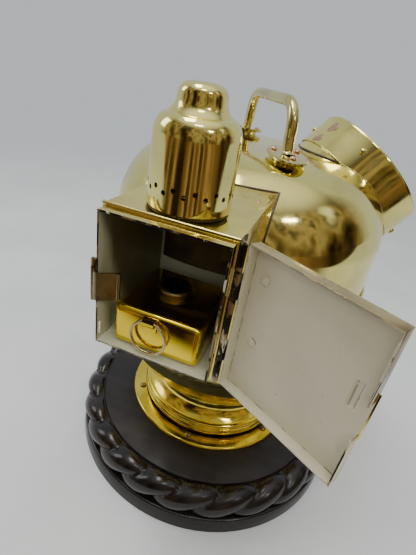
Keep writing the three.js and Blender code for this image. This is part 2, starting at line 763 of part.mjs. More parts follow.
// A folded strap on the front of the tank: its roll carries the ring.
const ringY = TANK_FRONT - GAP - 2.9;

function ringBracket() {
  const plate = block(
    [RING_X - 4, RING_X + 4], [TANK_FRONT - GAP - 0.7, TANK_FRONT - GAP], [RING_Z - 9, RING_Z + 1]
  );
  const roll = bar([RING_X - 4, ringY, RING_Z], [RING_X + 4, ringY, RING_Z], 2.9);
  const bore = bar([RING_X - 9, ringY, RING_Z], [RING_X + 9, ringY, RING_Z], 2.1);
  return joined([plate, roll]).subtract(solid(bore));
}

function pullRing() {
  const ring = new THREE.TorusGeometry(RING_R, 1, 6, 20).rotateX(Math.PI / 2);
  return solid(ring.translate(RING_X, ringY, RING_Z - RING_R + GAP));
}

// ---- assembly -----------------------------------------------------------------------------------

const binnacle = new THREE.Group();
const place = (name, shape, material) => binnacle.add(named(name, shape, material));

place('plinth', plinth(), wood);
place('base_flange', baseFlange(), brass);
flangeScrewAngles.forEach((angle, i) => {
  const screw = named(`flange_screw_${i + 1}`, flangeScrew(), brass);
  screw.position.set(...polar(FLANGE_SCREW_R, angle, PLINTH_TOP + FLANGE_T + 2 * GAP));
  binnacle.add(screw);
});
place('foot_ring', footRing(), brass);
place('binnacle_bowl', binnacleBowl(), brass);
place('bowl_rim', bowlRim(), brass);

place('gimbal_bracket_1', gimbalBracket(1), brass);
place('gimbal_bracket_2', gimbalBracket(-1), brass);
place('gimbal_ring', gimbalRing(), brass);
place('gimbal_pin_1', gimbalPin(1), steel);
place('gimbal_pin_2', gimbalPin(-1), steel);
place('compass_bowl', compassBowl(), brass);
place('compass_pin_1', compassPin(1), steel);
place('compass_pin_2', compassPin(-1), steel);
place('compass_weight', compassWeight(), lead);
place('compass_card', compassCard(), card);
place('card_pivot', cardPivot(), steel);
place('card_magnet_1', cardMagnet(1), steel);
place('card_magnet_2', cardMagnet(-1), steel);
place('compass_glass', compassGlass(), glass);
place('compass_bezel', compassBezel(), brass);

place('hood_shell', hoodShell(), brass);
place('hood_bead', hoodBead(), brass);
place('handle', handle(), brass);
rivetSpots.forEach((spot, i) => place(`handle_rivet_${i + 1}`, handleRivet(spot), copper));

const viewingWindow = new THREE.Group();
viewingWindow.applyMatrix4(windowFrame);
viewingWindow.add(named('window_neck', windowNeck(), brass));
viewingWindow.add(named('window_collar', windowCollar(), brass));
viewingWindow.add(named('window_glass', windowGlass(), glass));
viewingWindow.add(named('window_glass_ring', windowGlassRing(), brass));
collarScrews.forEach((spot, i) => {
  viewingWindow.add(named(`collar_screw_${i + 1}`, collarScrew(spot), brass));
});
binnacle.add(viewingWindow);

place('lamp_box', lampBox(), brass);
place('lamp_back_plate', lampBackPlate(), cream);
place('lamp_pane', lampPane(), glass);
place('chimney_seat', chimneySeat(), darkBrass);
place('chimney', chimney(), brass);

const hinge = new THREE.Group();
hinge.position.set(HINGE_X, HINGE_Y, 0);
hinge.add(named('hinge_leaf_box', hingeLeaf(0, 1, BOX_HALF + GAP - HINGE_X, 14), brass));
hinge.add(named('hinge_pin', hingePin(), steel));
binnacle.add(hinge);

const door = new THREE.Group();
door.rotation.z = radians(DOOR_OPEN);
door.add(named('door_pan', doorPan(), cream));
door.add(named('hinge_leaf_door', hingeLeaf(1, -1, DOOR_HALF + GAP - HINGE_X, 8.6), brass));
door.add(named('door_keeper', doorKeeper(), brass));
hinge.add(door);

const latch = new THREE.Group();
latch.position.set(HASP_X, HASP_Y, 0);
latch.add(named('hasp_bracket', haspBracket(), brass));
latch.add(named('hasp_pin', haspPin(), steel));
const strap = named('hasp', hasp(), brass);
strap.rotation.z = radians(HASP_LEAN);
latch.add(strap);
binnacle.add(latch);

place('oil_tank', oilTank(), yellowBrass);
place('burner_collar', burnerCollar(), yellowBrass);
place('ring_bracket', ringBracket(), yellowBrass);
place('pull_ring', pullRing(), brass);

export default binnacle;
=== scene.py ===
"""Looks for a brass boat's binnacle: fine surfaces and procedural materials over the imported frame.

Lengths in this script are millimetres in the row frame until a mesh is made, which is in metres.
"""
import math
import random

import bmesh
import bpy
from mathutils import Matrix, Vector


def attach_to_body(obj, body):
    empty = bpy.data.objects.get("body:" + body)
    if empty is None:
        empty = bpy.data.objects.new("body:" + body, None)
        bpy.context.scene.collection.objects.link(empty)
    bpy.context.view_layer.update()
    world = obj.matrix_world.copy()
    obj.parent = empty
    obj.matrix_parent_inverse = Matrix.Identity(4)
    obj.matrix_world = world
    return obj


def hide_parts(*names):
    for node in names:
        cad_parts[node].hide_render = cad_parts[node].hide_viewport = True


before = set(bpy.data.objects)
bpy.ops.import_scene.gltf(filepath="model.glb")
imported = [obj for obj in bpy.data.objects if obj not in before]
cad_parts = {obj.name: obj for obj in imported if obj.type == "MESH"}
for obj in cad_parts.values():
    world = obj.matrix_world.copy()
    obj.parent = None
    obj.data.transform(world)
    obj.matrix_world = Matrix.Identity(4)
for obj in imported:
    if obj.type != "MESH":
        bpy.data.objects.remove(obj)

MM = 0.001
GAP = 0.3
TAU = 2 * math.pi
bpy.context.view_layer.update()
random.seed(7)

# ---- sizes, as in the frame -----------------------------------------------------------------------

PLINTH_R, PLINTH_TOP = 173, 50
ROPE_R, ROPE_Z, ROPE_SECTION, ROPE_LOBES, FIRST_LOBE = 156, 36, 16.5, 23, 13
FLANGE_R, FLANGE_SCREW_R, FIRST_FLANGE_SCREW = 108.7, 97, -27.5
FLANGE_LOW, FLANGE_HIGH = 50.3, 55.3
FOOT_LOW, FOOT_TOP = 55.6, 93
BOWL_R, BOWL_BOTTOM_R, BOWL_FLOOR, BOWL_WIDEST, BOWL_TOP = 137.9, 74, 94.3, 230, 268
HOOD_R, HOOD_BOTTOM, HOOD_SHOULDER, HOOD_TOP, SHEET = 139.7, 262, 318, 386, 1.2
WINDOW_AZIMUTH, WINDOW_RISE, WINDOW_START = math.radians(32), math.radians(48.3), 231
COLLAR_R, COLLAR_FROM, COLLAR_TO, NECK_R = 70.4, 157, 193, 68.8
HANDLE_AZIMUTH = math.radians(-60)
HANDLE_LEG, HANDLE_FOOT, HANDLE_TOP, HANDLE_CORNER, HANDLE_BAR = 64, 68, 430.5, 27, 5
FOOT_PLATE, FOOT_Z, FOOT_TILT, FOOT_PAD_R = 3, 389.4, math.radians(6), 12
BOX_FRONT, BOX_SHOULDER, BOX_HALF, BOX_LOW, BOX_HIGH = -228, -220.5, 41.2, 272.6, 368.6
NECK_HALF, NECK_LOW, NECK_HIGH, BOX_FLOOR = 40, 274, 367, 275.4
LAMP_Y, CHIMNEY_R, CHIMNEY_LOW = -192.5, 25.4, 371.2
VENTS, VENT_R, FIRST_VENT = 13, 1.5, 5.9
HINGE_X, HINGE_Y, DOOR_OPEN = 44, -221.4, math.radians(150.3)
DOOR_HALF, DOOR_LOW, DOOR_HIGH, DOOR_FACE, DOOR_REAR = 41.6, 272, 369, -230.4, -222.6
KNUCKLES = [272.5, 290, 306.2, 333.9, 351.6, 368.4]
HASP_X, HASP_Y, HASP_LOW, HASP_HIGH = -46, -222, 307.3, 326.9
HASP_REACH, HASP_LENGTH, HASP_LEAN = 10.1, 14.5, math.radians(36)
TANK_HALF, TANK_FRONT, TANK_BACK, TANK_LOW, TANK_HIGH = 30.5, -222.9, -160, 275.7, 305.5
BURNER_R, RING_X, RING_Z, RING_R, RING_Y = 9.6, -3, 302, 12, -226.1
BURNER_X, BURNER_Y = -3, -187.8
CARD_Z, COMPASS_R, CARD_R = 250, 92, 78

# ---- studio colours and ramps ----------------------------------------------------------------------------

BACKDROP = (0.56, 0.595, 0.615)
BACKWARDS = (-0.37, 0.93, 0)  # away from the camera, along the floor
FLOOR_REACH = 30000
DARK_FLOOR = ((0.36, (0.02, 0.012, 0.006)), (0.47, (0.16, 0.1, 0.05)), (0.52, (0.42, 0.25, 0.14)),
              (0.56, (0.05, 0.035, 0.02)), (0.63, (0.06, 0.045, 0.02)), (0.68, (0.6, 0.58, 0.5)))
DARK_ROOM = ((0.4, (0.018, 0.011, 0.006)), (0.48, (0.14, 0.1, 0.05)), (0.56, (0.45, 0.36, 0.22)),
             (0.6, (0.05, 0.04, 0.025)), (0.66, (0.55, 0.54, 0.5)), (0.72, (0.9, 0.9, 0.88)))
OVERHEAD = ((0.5, (0, 0, 0)), (0.72, (0.12, 0.11, 0.09)), (0.86, (0.75, 0.76, 0.77)), (1, (1.15, 1.15, 1.15)))

# ---- materials ------------------------------------------------------------------------------------


class Nodes:
    """A small hand for wiring a node tree, where patterns are read at the given coordinates."""

    def __init__(self, tree, coordinates):
        self.tree = tree
        self.place = self.add("ShaderNodeTexCoord").outputs[coordinates]

    def add(self, kind, **settings):
        node = self.tree.nodes.new(kind)
        for key, value in settings.items():
            setattr(node, key, value)
        return node

    def link(self, source, target):
        self.tree.links.new(source, target)

    def noise(self, scale, detail=3.0, stretch=(1, 1, 1), place=None):
        mapping = self.add("ShaderNodeMapping")
        mapping.inputs["Scale"].default_value = stretch
        self.link(place or self.place, mapping.inputs["Vector"])
        node = self.add("ShaderNodeTexNoise")
        node.inputs["Scale"].default_value = scale
        node.inputs["Detail"].default_value = detail
        self.link(mapping.outputs["Vector"], node.inputs["Vector"])
        return node.outputs["Fac"]

    def vector(self, operation, output, source=None, other=None):
        """One vector operation on a source, or on the place, with a constant second vector."""
        node = self.add("ShaderNodeVectorMath", operation=operation)
        self.link(source or self.place, node.inputs[0])
        if other:
            node.inputs[1].default_value = other
        return node.outputs[output]

    def axes(self):
        split = self.add("ShaderNodeSeparateXYZ")
        self.link(self.place, split.inputs[0])
        return split.outputs

    def ramp(self, value, stops):
        node = self.add("ShaderNodeValToRGB")
        elements = node.color_ramp.elements
        while len(elements) > 1:
            elements.remove(elements[0])
        elements[0].position, elements[0].color = stops[0][0], (*stops[0][1], 1)
        for place, color in stops[1:]:
            elements.new(place).color = (*color, 1)
        self.link(value, node.inputs["Fac"])
        return node.outputs["Color"]

    def remap(self, value, low, high, to_low=0.0, to_high=1.0):
        node = self.add("ShaderNodeMapRange", interpolation_type="SMOOTHSTEP")
        self.link(value, node.inputs["Value"])
        for key, number in zip(("From Min", "From Max", "To Min", "To Max"), (low, high, to_low, to_high)):
            node.inputs[key].default_value = number
        return node.outputs["Result"]

    def math(self, operation, a, b):
        node = self.add("ShaderNodeMath", operation=operation)
        for socket, value in zip(node.inputs, (a, b)):
            if isinstance(value, (int, float)):
                socket.default_value = value
            else:
                self.link(value, socket)
        return node.outputs["Value"]

    def mix(self, factor, a, b, how="MIX"):
        node = self.add("ShaderNodeMix", data_type="RGBA", blend_type=how)
        if isinstance(factor, (int, float)):
            node.inputs["Factor"].default_value = factor
        else:
            self.link(factor, node.inputs["Factor"])
        for name, value in (("A", a), ("B", b)):
            socket = [s for s in node.inputs if s.name == name and s.type == "RGBA"][0]
            if isinstance(value, (tuple, list)):
                socket.default_value = (*value, 1)
            else:
                self.link(value, socket)
        return [s for s in node.outputs if s.type == "RGBA"][0]

    def either(self, factor, a, b):
        """The shader a where the factor is 0 and b where it is 1."""
        node = self.add("ShaderNodeMixShader")
        for socket, source in zip(node.inputs, (factor, a, b)):
            self.link(source, socket)
        return node.outputs["Shader"]

    def bump(self, height, strength, distance, normal=None):
        node = self.add("ShaderNodeBump")
        node.inputs["Strength"].default_value = strength
        node.inputs["Distance"].default_value = distance
        self.link(height, node.inputs["Height"])
        if normal:
            self.link(normal, node.inputs["Normal"])
        return node.outputs["Normal"]

    def edges(self, radius):
        """1 on outer and inner edges within the radius, 0 on flat faces."""
        rounded = self.add("ShaderNodeBevel", samples=4)
        rounded.inputs["Radius"].default_value = radius * MM
        flat = self.add("ShaderNodeNewGeometry").outputs["Normal"]
        dot = self.add("ShaderNodeVectorMath", operation="DOT_PRODUCT")
        self.link(rounded.outputs["Normal"], dot.inputs[0])
        self.link(flat, dot.inputs[1])
        return self.remap(dot.outputs["Value"], 0.995, 0.9)


class Surface(Nodes):
    """A material with its shader at hand."""

    def __init__(self, name):
        self.material = bpy.data.materials.new(name)
        self.material.use_nodes = True
        super().__init__(self.material.node_tree, "Object")
        self.shader = self.tree.nodes["Principled BSDF"]

    def set(self, **values):
        for key, value in values.items():
            self.shader.inputs[key.replace("_", " ")].default_value = value


def polished_metal(name, color, stain, roughness, dents=0.25, stained=0.35):
    """Hand-polished sheet: slow waves from spinning, cloudy polish, hairline scratches and small spots."""
    n = Surface(name)
    cloud = n.remap(n.noise(16, 4), 0.42, 0.68, 0, stained)
    spots = n.remap(n.noise(420, 2), 0.69, 0.74, 0, 0.7)
    cover = n.math("MAXIMUM", cloud, spots)
    n.link(n.mix(cover, color, stain), n.shader.inputs["Base Color"])
    smear = n.remap(n.noise(70, 6), 0.3, 0.75, roughness * 0.6, roughness * 1.7)
    n.link(smear, n.shader.inputs["Roughness"])
    n.set(Metallic=1.0)
    waves = n.bump(n.noise(22, 2), dents, 0.4 * MM)
    hair = n.bump(n.noise(900, 2, (0.05, 1, 1)), 0.05, 0.05 * MM, waves)
    n.link(hair, n.shader.inputs["Normal"])
    return n.material


def old_paint(name, color, seed, deep_shade=0.0):
    """Brush-painted cream over brass, chipped to dark metal along its edges, with specks of dirt. Painted shade
    browns what lies deep in the lamp box, most of all near its roof."""
    n = Surface(name)
    mottled = n.remap(n.noise(24 + seed, 5), 0.35, 0.7, 0, 0.55)
    tone = n.mix(mottled, color, [c * 0.86 for c in color])
    specks = n.remap(n.noise(520, 3), 0.71, 0.75, 0, 0.6)
    tone = n.mix(specks, tone, (0.12, 0.09, 0.05))
    worn = n.math("MULTIPLY", n.edges(0.9), n.remap(n.noise(150, 5), 0.5, 0.56))
    tone = n.mix(worn, tone, (0.05, 0.035, 0.02))
    if deep_shade:
        spot = n.axes()
        leaning = n.math("ADD", spot["Y"], n.math("MULTIPLY", spot["Z"], 0.45))
        cloudy = n.math("ADD", leaning, n.math("MULTIPLY", n.noise(30, 4), 0.012))
        # painted shade: brown that deepens towards the back and roof of the lamp box
        tone = n.mix(n.remap(cloudy, -0.064, -0.05, 0, deep_shade), tone, (0.11, 0.09, 0.035))
    n.link(tone, n.shader.inputs["Base Color"])
    n.link(n.remap(n.noise(60, 3), 0.3, 0.7, 0.3, 0.5), n.shader.inputs["Roughness"])
    n.link(n.bump(n.noise(260, 4), 0.12, 0.15 * MM), n.shader.inputs["Normal"])
    return n.material


def chipped_paint():
    """Bare brown brass with scraps of cream and black paint left on it."""
    n = Surface("chipped_paint")
    flakes = n.remap(n.noise(170, 5, (1, 1, 0.35)), 0.6, 0.63)
    scorched = n.remap(n.noise(90, 4), 0.42, 0.5)
    tone = n.mix(scorched, (0.3, 0.22, 0.12), (0.02, 0.015, 0.012))
    n.link(n.mix(flakes, tone, (0.6, 0.58, 0.47)), n.shader.inputs["Base Color"])
    n.link(n.remap(flakes, 0, 1, 0.75, 0), n.shader.inputs["Metallic"])
    n.link(n.remap(flakes, 0, 1, 0.28, 0.5), n.shader.inputs["Roughness"])
    n.link(n.bump(flakes, 0.6, 0.1 * MM), n.shader.inputs["Normal"])
    return n.material


def stained_wood():
    """Near-black wood: varnished on the carved edge, rubbed dull on the flat top."""
    n = Surface("stained_wood")
    grain = n.noise(60, 6, (0.12, 1, 1))
    tone = n.mix(n.remap(grain, 0.35, 0.7), (0.006, 0.004, 0.004), (0.016, 0.01, 0.009))
    n.link(tone, n.shader.inputs["Base Color"])
    radius = n.vector("LENGTH", "Value", n.vector("MULTIPLY", "Vector", other=(1, 1, 0)))
    dull = n.remap(radius, 0.1465, 0.1485, 0.45, 0.2)
    patchy = n.math("MULTIPLY", dull, n.remap(n.noise(34, 4), 0.3, 0.75, 0.85, 1.5))
    n.link(patchy, n.shader.inputs["Roughness"])
    n.link(n.bump(grain, 0.15, 0.12 * MM), n.shader.inputs["Normal"])
    return n.material


def clear_glass():
    n = Surface("clear_glass")
    n.set(Transmission_Weight=1.0, IOR=1.5, Base_Color=(0.94, 0.98, 0.97, 1))
    n.link(n.remap(n.noise(40, 4), 0.4, 0.8, 0.01, 0.06), n.shader.inputs["Roughness"])
    return n.material


def smoky_glass():
    """A lamp pane browned by soot."""
    n = Surface("sooty_glass")
    soot = n.remap(n.noise(38, 5), 0.35, 0.7)
    n.link(n.mix(soot, (0.16, 0.12, 0.06), (0.05, 0.035, 0.02)), n.shader.inputs["Base Color"])
    n.link(n.remap(n.noise(90, 3), 0.3, 0.7, 0.08, 0.25), n.shader.inputs["Roughness"])
    n.set(Transmission_Weight=0.35, IOR=1.5)
    return n.material


def printed_card():
    n = Surface("printed_card")
    n.link(n.mix(n.remap(n.noise(120, 4), 0.3, 0.7), (0.82, 0.78, 0.66), (0.72, 0.67, 0.54)),
           n.shader.inputs["Base Color"])
    n.set(Roughness=0.6)
    return n.material


brass = polished_metal("polished_brass", (0.9, 0.8, 0.27), (0.55, 0.46, 0.17), 0.1, 0.3, 0.55)
handle_brass = polished_metal("handle_brass", (0.72, 0.64, 0.27), (0.4, 0.32, 0.13), 0.16, 0.5, 0.6)
cast_brass = polished_metal("cast_brass", (0.93, 0.72, 0.11), (0.62, 0.45, 0.06), 0.13, 0.6, 0.6)
box_brass = polished_metal("box_brass", (0.93, 0.8, 0.27), (0.7, 0.55, 0.22), 0.2, 0.4, 0.6)
yellow_brass = polished_metal("yellow_brass", (0.93, 0.67, 0.035), (0.5, 0.34, 0.02), 0.08, 0.8, 0.6)
worn_brass = polished_metal("worn_brass", (0.72, 0.58, 0.3), (0.2, 0.14, 0.07), 0.24, 0.4, 0.9)
dark_bronze = polished_metal("dark_bronze", (0.36, 0.29, 0.12), (0.1, 0.08, 0.04), 0.22, 0.4, 0.8)
# Near-black brass as painted shade, for the chimney seat in the gap under the chimney; the cutters that also carry
# it are removed.
shadow_brass = polished_metal("shadow_brass", (0.1, 0.075, 0.04), (0.02, 0.015, 0.01), 0.4, 0.3, 0.8)
copper = polished_metal("copper", (0.86, 0.48, 0.38), (0.5, 0.24, 0.17), 0.22)
patina = polished_metal("patina", (0.5, 0.33, 0.24), (0.22, 0.15, 0.1), 0.4, 0.8, 0.8)
steel = polished_metal("steel", (0.42, 0.41, 0.4), (0.16, 0.12, 0.09), 0.3, 0.2, 0.6)
lead = polished_metal("lead", (0.16, 0.16, 0.17), (0.09, 0.09, 0.09), 0.5, 0.4, 0.6)
solder = polished_metal("solder", (0.12, 0.1, 0.09), (0.3, 0.27, 0.25), 0.35, 0.6, 0.5)
# The lamp box's cream carries painted shade deep inside the box.
box_cream = old_paint("box_cream", (0.66, 0.68, 0.48), 0, 0.85)
# A darker copy of the cream as painted shade: in the door's pressed slot and on the back plate deep in the lamp box.
shaded_cream = old_paint("shaded_cream", (0.4, 0.4, 0.29), 2)
door_cream = old_paint("door_cream", (0.66, 0.63, 0.47), 5)
chipped = chipped_paint()
wood = stained_wood()
glass = clear_glass()
sooty_glass = smoky_glass()
card_paper = printed_card()
ink = polished_metal("ink", (0.02, 0.02, 0.02), (0.03, 0.03, 0.03), 0.5, 0.0, 0.1)

# ---- mesh helpers ---------------------------------------------------------------------------------


def make(name, verts, faces, material, sharp=35):
    """A mesh object from millimetres, shaded smooth except across edges sharper than that."""
    mesh = bpy.data.meshes.new(name)
    mesh.from_pydata([Vector(v) * MM for v in verts], [], faces)
    body = bmesh.new()
    body.from_mesh(mesh)
    bmesh.ops.remove_doubles(body, verts=body.verts, dist=0.002 * MM)
    bmesh.ops.recalc_face_normals(body, faces=body.faces)
    body.to_mesh(mesh)
    body.free()
    mesh.shade_smooth()
    mesh.set_sharp_from_angle(angle=math.radians(sharp))
    mesh.materials.append(material)
    obj = bpy.data.objects.new(name, mesh)
    bpy.context.scene.collection.objects.link(obj)
    return obj


def bake(obj, sharp=35):
    """Applies the object's modifiers to its mesh."""
    graph = bpy.context.evaluated_depsgraph_get()
    graph.update()
    mesh = bpy.data.meshes.new_from_object(obj.evaluated_get(graph))
    obj.modifiers.clear()
    obj.data = mesh
    mesh.shade_smooth()
    mesh.set_sharp_from_angle(angle=math.radians(sharp))
    return obj


def cut(obj, tool, operation="DIFFERENCE"):
    modifier = obj.modifiers.new("cut", "BOOLEAN")
    modifier.operation = operation
    modifier.solver = "EXACT"
    modifier.object = tool
    bake(obj)
    bpy.data.objects.remove(tool)
    return obj


def soften(obj, width, steps=2, angle=40):
    """Rounds the edges of a folded or machined piece."""
    modifier = obj.modifiers.new("soften", "BEVEL")
    modifier.width = width * MM
    modifier.segments = steps
    modifier.limit_method = "ANGLE"
    modifier.angle_limit = math.radians(angle)
    return bake(obj)


def attach(obj, body, slot, *nodes):
    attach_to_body(obj, body)
    if nodes:
        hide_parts(*nodes)
    return obj


def rounded(outline, radius=0.6, steps=4):
    """A closed outline with its corners rounded, points on the axis left alone."""
    points, count = [], len(outline)
    for i, (r, z) in enumerate(outline):
        here = Vector((r, z))
        before, after = Vector(outline[i - 1]), Vector(outline[(i + 1) % count])
        if r < 1e-6:
            points.append((r, z))
            continue
        back = min(radius, 0.45 * (before - here).length)
        on = min(radius, 0.45 * (after - here).length)
        start = here + (before - here).normalized() * back
        end = here + (after - here).normalized() * on
        for k in range(steps + 1):
            t = k / steps
            points.append(tuple(start * (1 - t) ** 2 + here * 2 * t * (1 - t) + end * t * t))
    return points


def spin(outline, sides=96):
    """Vertices and faces of a closed outline turned about Z."""
    verts, faces, count = [], [], len(outline)
    for i in range(sides):
        a = TAU * i / sides
        verts += [(r * math.cos(a), r * math.sin(a), z) for r, z in outline]
    closed = outline[0][0] > 1e-6
    for i in range(sides):
        for j in range(count if closed else count - 1):
            k = (j + 1) % count
            if outline[j][0] < 1e-6 and outline[k][0] < 1e-6:
                continue
            quad = [i * count + j, (i + 1) % sides * count + j, (i + 1) % sides * count + k, i * count + k]
            if outline[j][0] < 1e-6:
                quad = [quad[0], quad[2], quad[3]]
            elif outline[k][0] < 1e-6:
                quad = quad[:3]
            faces.append(quad)
    return verts, faces


def turned(name, outline, material, sides=96, move=(0, 0, 0), sharp=35):
    verts, faces = spin(outline, sides)
    offset = Vector(move)
    return make(name, [Vector(v) + offset for v in verts], faces, material, sharp)


def loft(rows, close_rows=False, caps=False):
    """Faces over rows of equally many points, each row a ring."""
    width = len(rows[0])
    verts = [p for row in rows for p in row]
    faces = []
    last = len(rows) if close_rows else len(rows) - 1
    for i in range(last):
        for j in range(width):
            k, n = (j + 1) % width, (i + 1) % len(rows)
            faces.append([i * width + j, i * width + k, n * width + k, n * width + j])
    if caps:
        faces += [list(range(width)), list(range(len(verts) - width, len(verts)))]
    return verts, faces


def sweep(path, radius, sides=16, closed=False):
    """Rings of a round bar along a path. radius may be a function of the share of the way along."""
    rows, count = [], len(path)
    points = [Vector(p) for p in path]
    normal = None
    for i, p in enumerate(points):
        before = points[i - 1] if i or closed else p
        after = points[(i + 1) % count] if i < count - 1 or closed else p
        along = (after - before).normalized()
        if normal is None:
            normal = along.orthogonal().normalized()
        normal = (normal - along * normal.dot(along)).normalized()
        side = along.cross(normal)
        r = radius(i / (count - 1)) if callable(radius) else radius
        turn = [TAU * k / sides for k in range(sides)]
        rows.append([p + normal * (r * math.cos(a)) + side * (r * math.sin(a)) for a in turn])
    return loft(rows, closed, not closed)


def box(name, x, y, z, material):
    corners = [(a, b, c) for a in x for b in y for c in z]
    faces = [(0, 1, 3, 2), (4, 6, 7, 5), (0, 4, 5, 1), (2, 3, 7, 6), (0, 2, 6, 4), (1, 5, 7, 3)]
    return make(name, corners, faces, material)


def rod(name, start, end, radius, material, sides=24):
    verts, faces = sweep([start, end], radius, sides)
    return make(name, verts, faces, material)


def join(name, objects):
    """One piece from several meshes that touch or overlap."""
    whole = bmesh.new()
    slots = []
    for o in objects:
        for m in o.data.materials:
            if m not in slots:
                slots.append(m)
    for o in objects:
        part = o.data.copy()
        part.transform(o.matrix_world)
        before = len(whole.faces)
        whole.from_mesh(part)
        whole.faces.ensure_lookup_table()
        for face in whole.faces[before:]:
            face.material_index = slots.index(o.data.materials[face.material_index])
    mesh = bpy.data.meshes.new(name)
    whole.to_mesh(mesh)
    whole.free()
    for m in slots:
        mesh.materials.append(m)
    mesh.set_sharp_from_angle(angle=math.radians(35))
    for o in objects:
        bpy.data.objects.remove(o)
    obj = bpy.data.objects.new(name, mesh)
    bpy.context.scene.collection.objects.link(obj)
    return obj


def turn_about(obj, x, y, angle):
    """Turns a mesh about a vertical axis and leaves its origin where it was."""
    pivot = Vector((x, y, 0)) * MM
    turn = Matrix.Translation(pivot) @ Matrix.Rotation(angle, 4, "Z") @ Matrix.Translation(-pivot)
    obj.data.transform(turn)
    return obj


def paint_faces(obj, material, chosen):
    """Gives the second material to the faces for which chosen(centre, normal) is true, in millimetres."""
    obj.data.materials.append(material)
    index = len(obj.data.materials) - 1
    for face in obj.data.polygons:
        if chosen(face.center / MM, face.normal):
            face.material_index = index


def dome(name, at, facing, radius, height, material, slot_turn=None):
    """A rivet or screw head standing on a point, with a driver's slot when a turn is given."""
    steps = 7
    outline = [(0, -0.6), (radius * 0.9, -0.6), (radius, 0)]
    outline += [(radius * math.cos(a), height * math.sin(a) ** 0.8)
                for a in (math.pi / 2 * k / steps for k in range(1, steps))]
    outline.append((0, height))
    head = turned(name, outline, material, 28)
    if slot_turn is not None:
        slot = box("slot", (-radius * 2, radius * 2), (-0.45, 0.45), (height * 0.55, height * 2), shadow_brass)
        slot.data.transform(Matrix.Rotation(slot_turn, 4, "Z"))
        cut(head, slot)
    spin_to = Vector((0, 0, 1)).rotation_difference(Vector(facing)).to_matrix().to_4x4()
    head.data.transform(Matrix.Translation(Vector(at) * MM) @ spin_to)
    return head


def polar(radius, degrees, z=0.0):
    return (radius * math.cos(math.radians(degrees)), radius * math.sin(math.radians(degrees)), z)


# ---- plinth and foot ------------------------------------------------------------------------------


def rope_section(lobes, angle):
    """Radius and height on the carved rope: plump lobes that meet in sharp creases and lean round."""
    across = lobes - 0.4 * math.sin(angle)
    plump = abs(math.cos(math.pi * across)) ** 0.62
    section = ROPE_SECTION * (0.6 + 0.4 * plump) * (1 + 0.22 * max(0, math.sin(0.35 - angle)) ** 3)
    return ROPE_R + section * math.cos(angle), ROPE_Z + section * math.sin(angle)


def build_plinth():
    around, steps = ROPE_LOBES * 16, 26
    rows = []
    for i in range(around):
        turn = FIRST_LOBE + 360 * i / around
        outline = [(PLINTH_R - 0.8, 0), (PLINTH_R, 0.8), (172.4, 6), (171.4, 17.6), (170.6, 18.8), (169, 19.3), (162, 20)]
        for k in range(steps + 1):
            outline.append(rope_section(i / 16, math.radians(-58 + 163 * k / steps)))
        outline += [(149.6, 47.2), (148.4, 47.2), (147.6, 49.2), (146.4, PLINTH_TOP), (100, PLINTH_TOP), (0.01, PLINTH_TOP)]
        rows.append([polar(r, turn, z) for r, z in [(0.01, 0)] + outline])
    flipped = [[row[j] for row in rows] for j in range(len(rows[0]))]
    verts, faces = loft(flipped)
    plinth = make("plinth_carved", verts, faces, wood, 50)
    attach(plinth, "base", "dark_wood", "plinth")


def build_flange():
    outline = rounded([(60, FLANGE_LOW), (FLANGE_R, FLANGE_LOW), (FLANGE_R, FLANGE_HIGH - 1.6),
                       (FLANGE_R - 1.6, FLANGE_HIGH), (60, FLANGE_HIGH)], 0.7)
    flange = turned("flange_turned", outline, cast_brass, 144)
    seam = box("seam", (88, 115), (-0.35, 0.35), (FLANGE_HIGH - 0.9, 70), cast_brass)
    seam.data.transform(Matrix.Rotation(math.radians(-46), 4, "Z"))
    cut(flange, seam)
    attach(flange, "base", "brass", "base_flange")
    for i in range(6):
        at = polar(FLANGE_SCREW_R, FIRST_FLANGE_SCREW + 60 * i, FLANGE_HIGH + GAP)
        head = dome(f"flange_screw_head_{i + 1}", at, (0, 0, 1), 4.2, 2.3, dark_bronze, random.uniform(0, 3))
        attach(head, "base", "brass", f"flange_screw_{i + 1}")
    stud = dome("flange_stud", polar(98, -52, FLANGE_HIGH), (0, 0, 1), 2.4, 1.8, yellow_brass)
    attach(stud, "base", "brass")


def build_foot():
    low = FOOT_LOW
    outline = [(62, low), (86, low), (86, low + 3.2), (92, low + 3.2)]
    outline += [(92 + 1.3 * math.sin(math.pi * k / 8), low + 3.6 + 6.4 * k / 8) for k in range(1, 8)]
    outline += [(91.6, low + 10.4), (90.4, low + 11)]
    outline += [(90.6 + 1.4 * math.sin(math.pi * k / 8), low + 11.2 + 5.4 * k / 8) for k in range(1, 8)]
    outline += [(90, low + 16.8), (87.6, low + 17), (87.6, low + 17.6), (86.6, low + 17.8)]
    outline += [(76 + 10.6 * (1 - k / 9) ** 2.4, low + 18 + 16.6 * k / 9) for k in range(1, 10)]
    outline += [(75.4, FOOT_TOP), (62, FOOT_TOP)]
    foot = turned("foot_turned", outline, cast_brass, 144, sharp=25)
    attach(foot, "base", "brass", "foot_ring")


def bowl_radius(z, margin):
    rise = (BOWL_WIDEST - 94) / math.sqrt(1 - (BOWL_BOTTOM_R / BOWL_R) ** 2)
    down = max(0, BOWL_WIDEST - z) / (rise + margin)
    return (BOWL_R + margin) * math.sqrt(1 - down * down)


def build_bowl():
    levels = [BOWL_FLOOR + (BOWL_WIDEST - BOWL_FLOOR) * (k / 28) for k in range(29)] + [BOWL_TOP]
    outline = [(0, BOWL_FLOOR)] + [(bowl_radius(z, 0), z) for z in levels]
    outline += [(bowl_radius(z, -SHEET), max(z, BOWL_FLOOR + SHEET)) for z in reversed(levels)]
    outline.append((0, BOWL_FLOOR + SHEET))
    attach(turned("bowl_spun", outline, brass, 128), "base", "brass", "binnacle_bowl")
    low, inner = HOOD_BOTTOM - 4.6, BOWL_R + GAP
    rim = rounded([(inner, low), (inner + 3.4, low), (inner + 3.4, low + 4.2), (inner, low + 4.2)], 1.6, 6)
    attach(turned("bowl_rim_bead", rim, brass, 128), "base", "brass", "bowl_rim")


# ---- hood -----------------------------------------------------------------------------------------


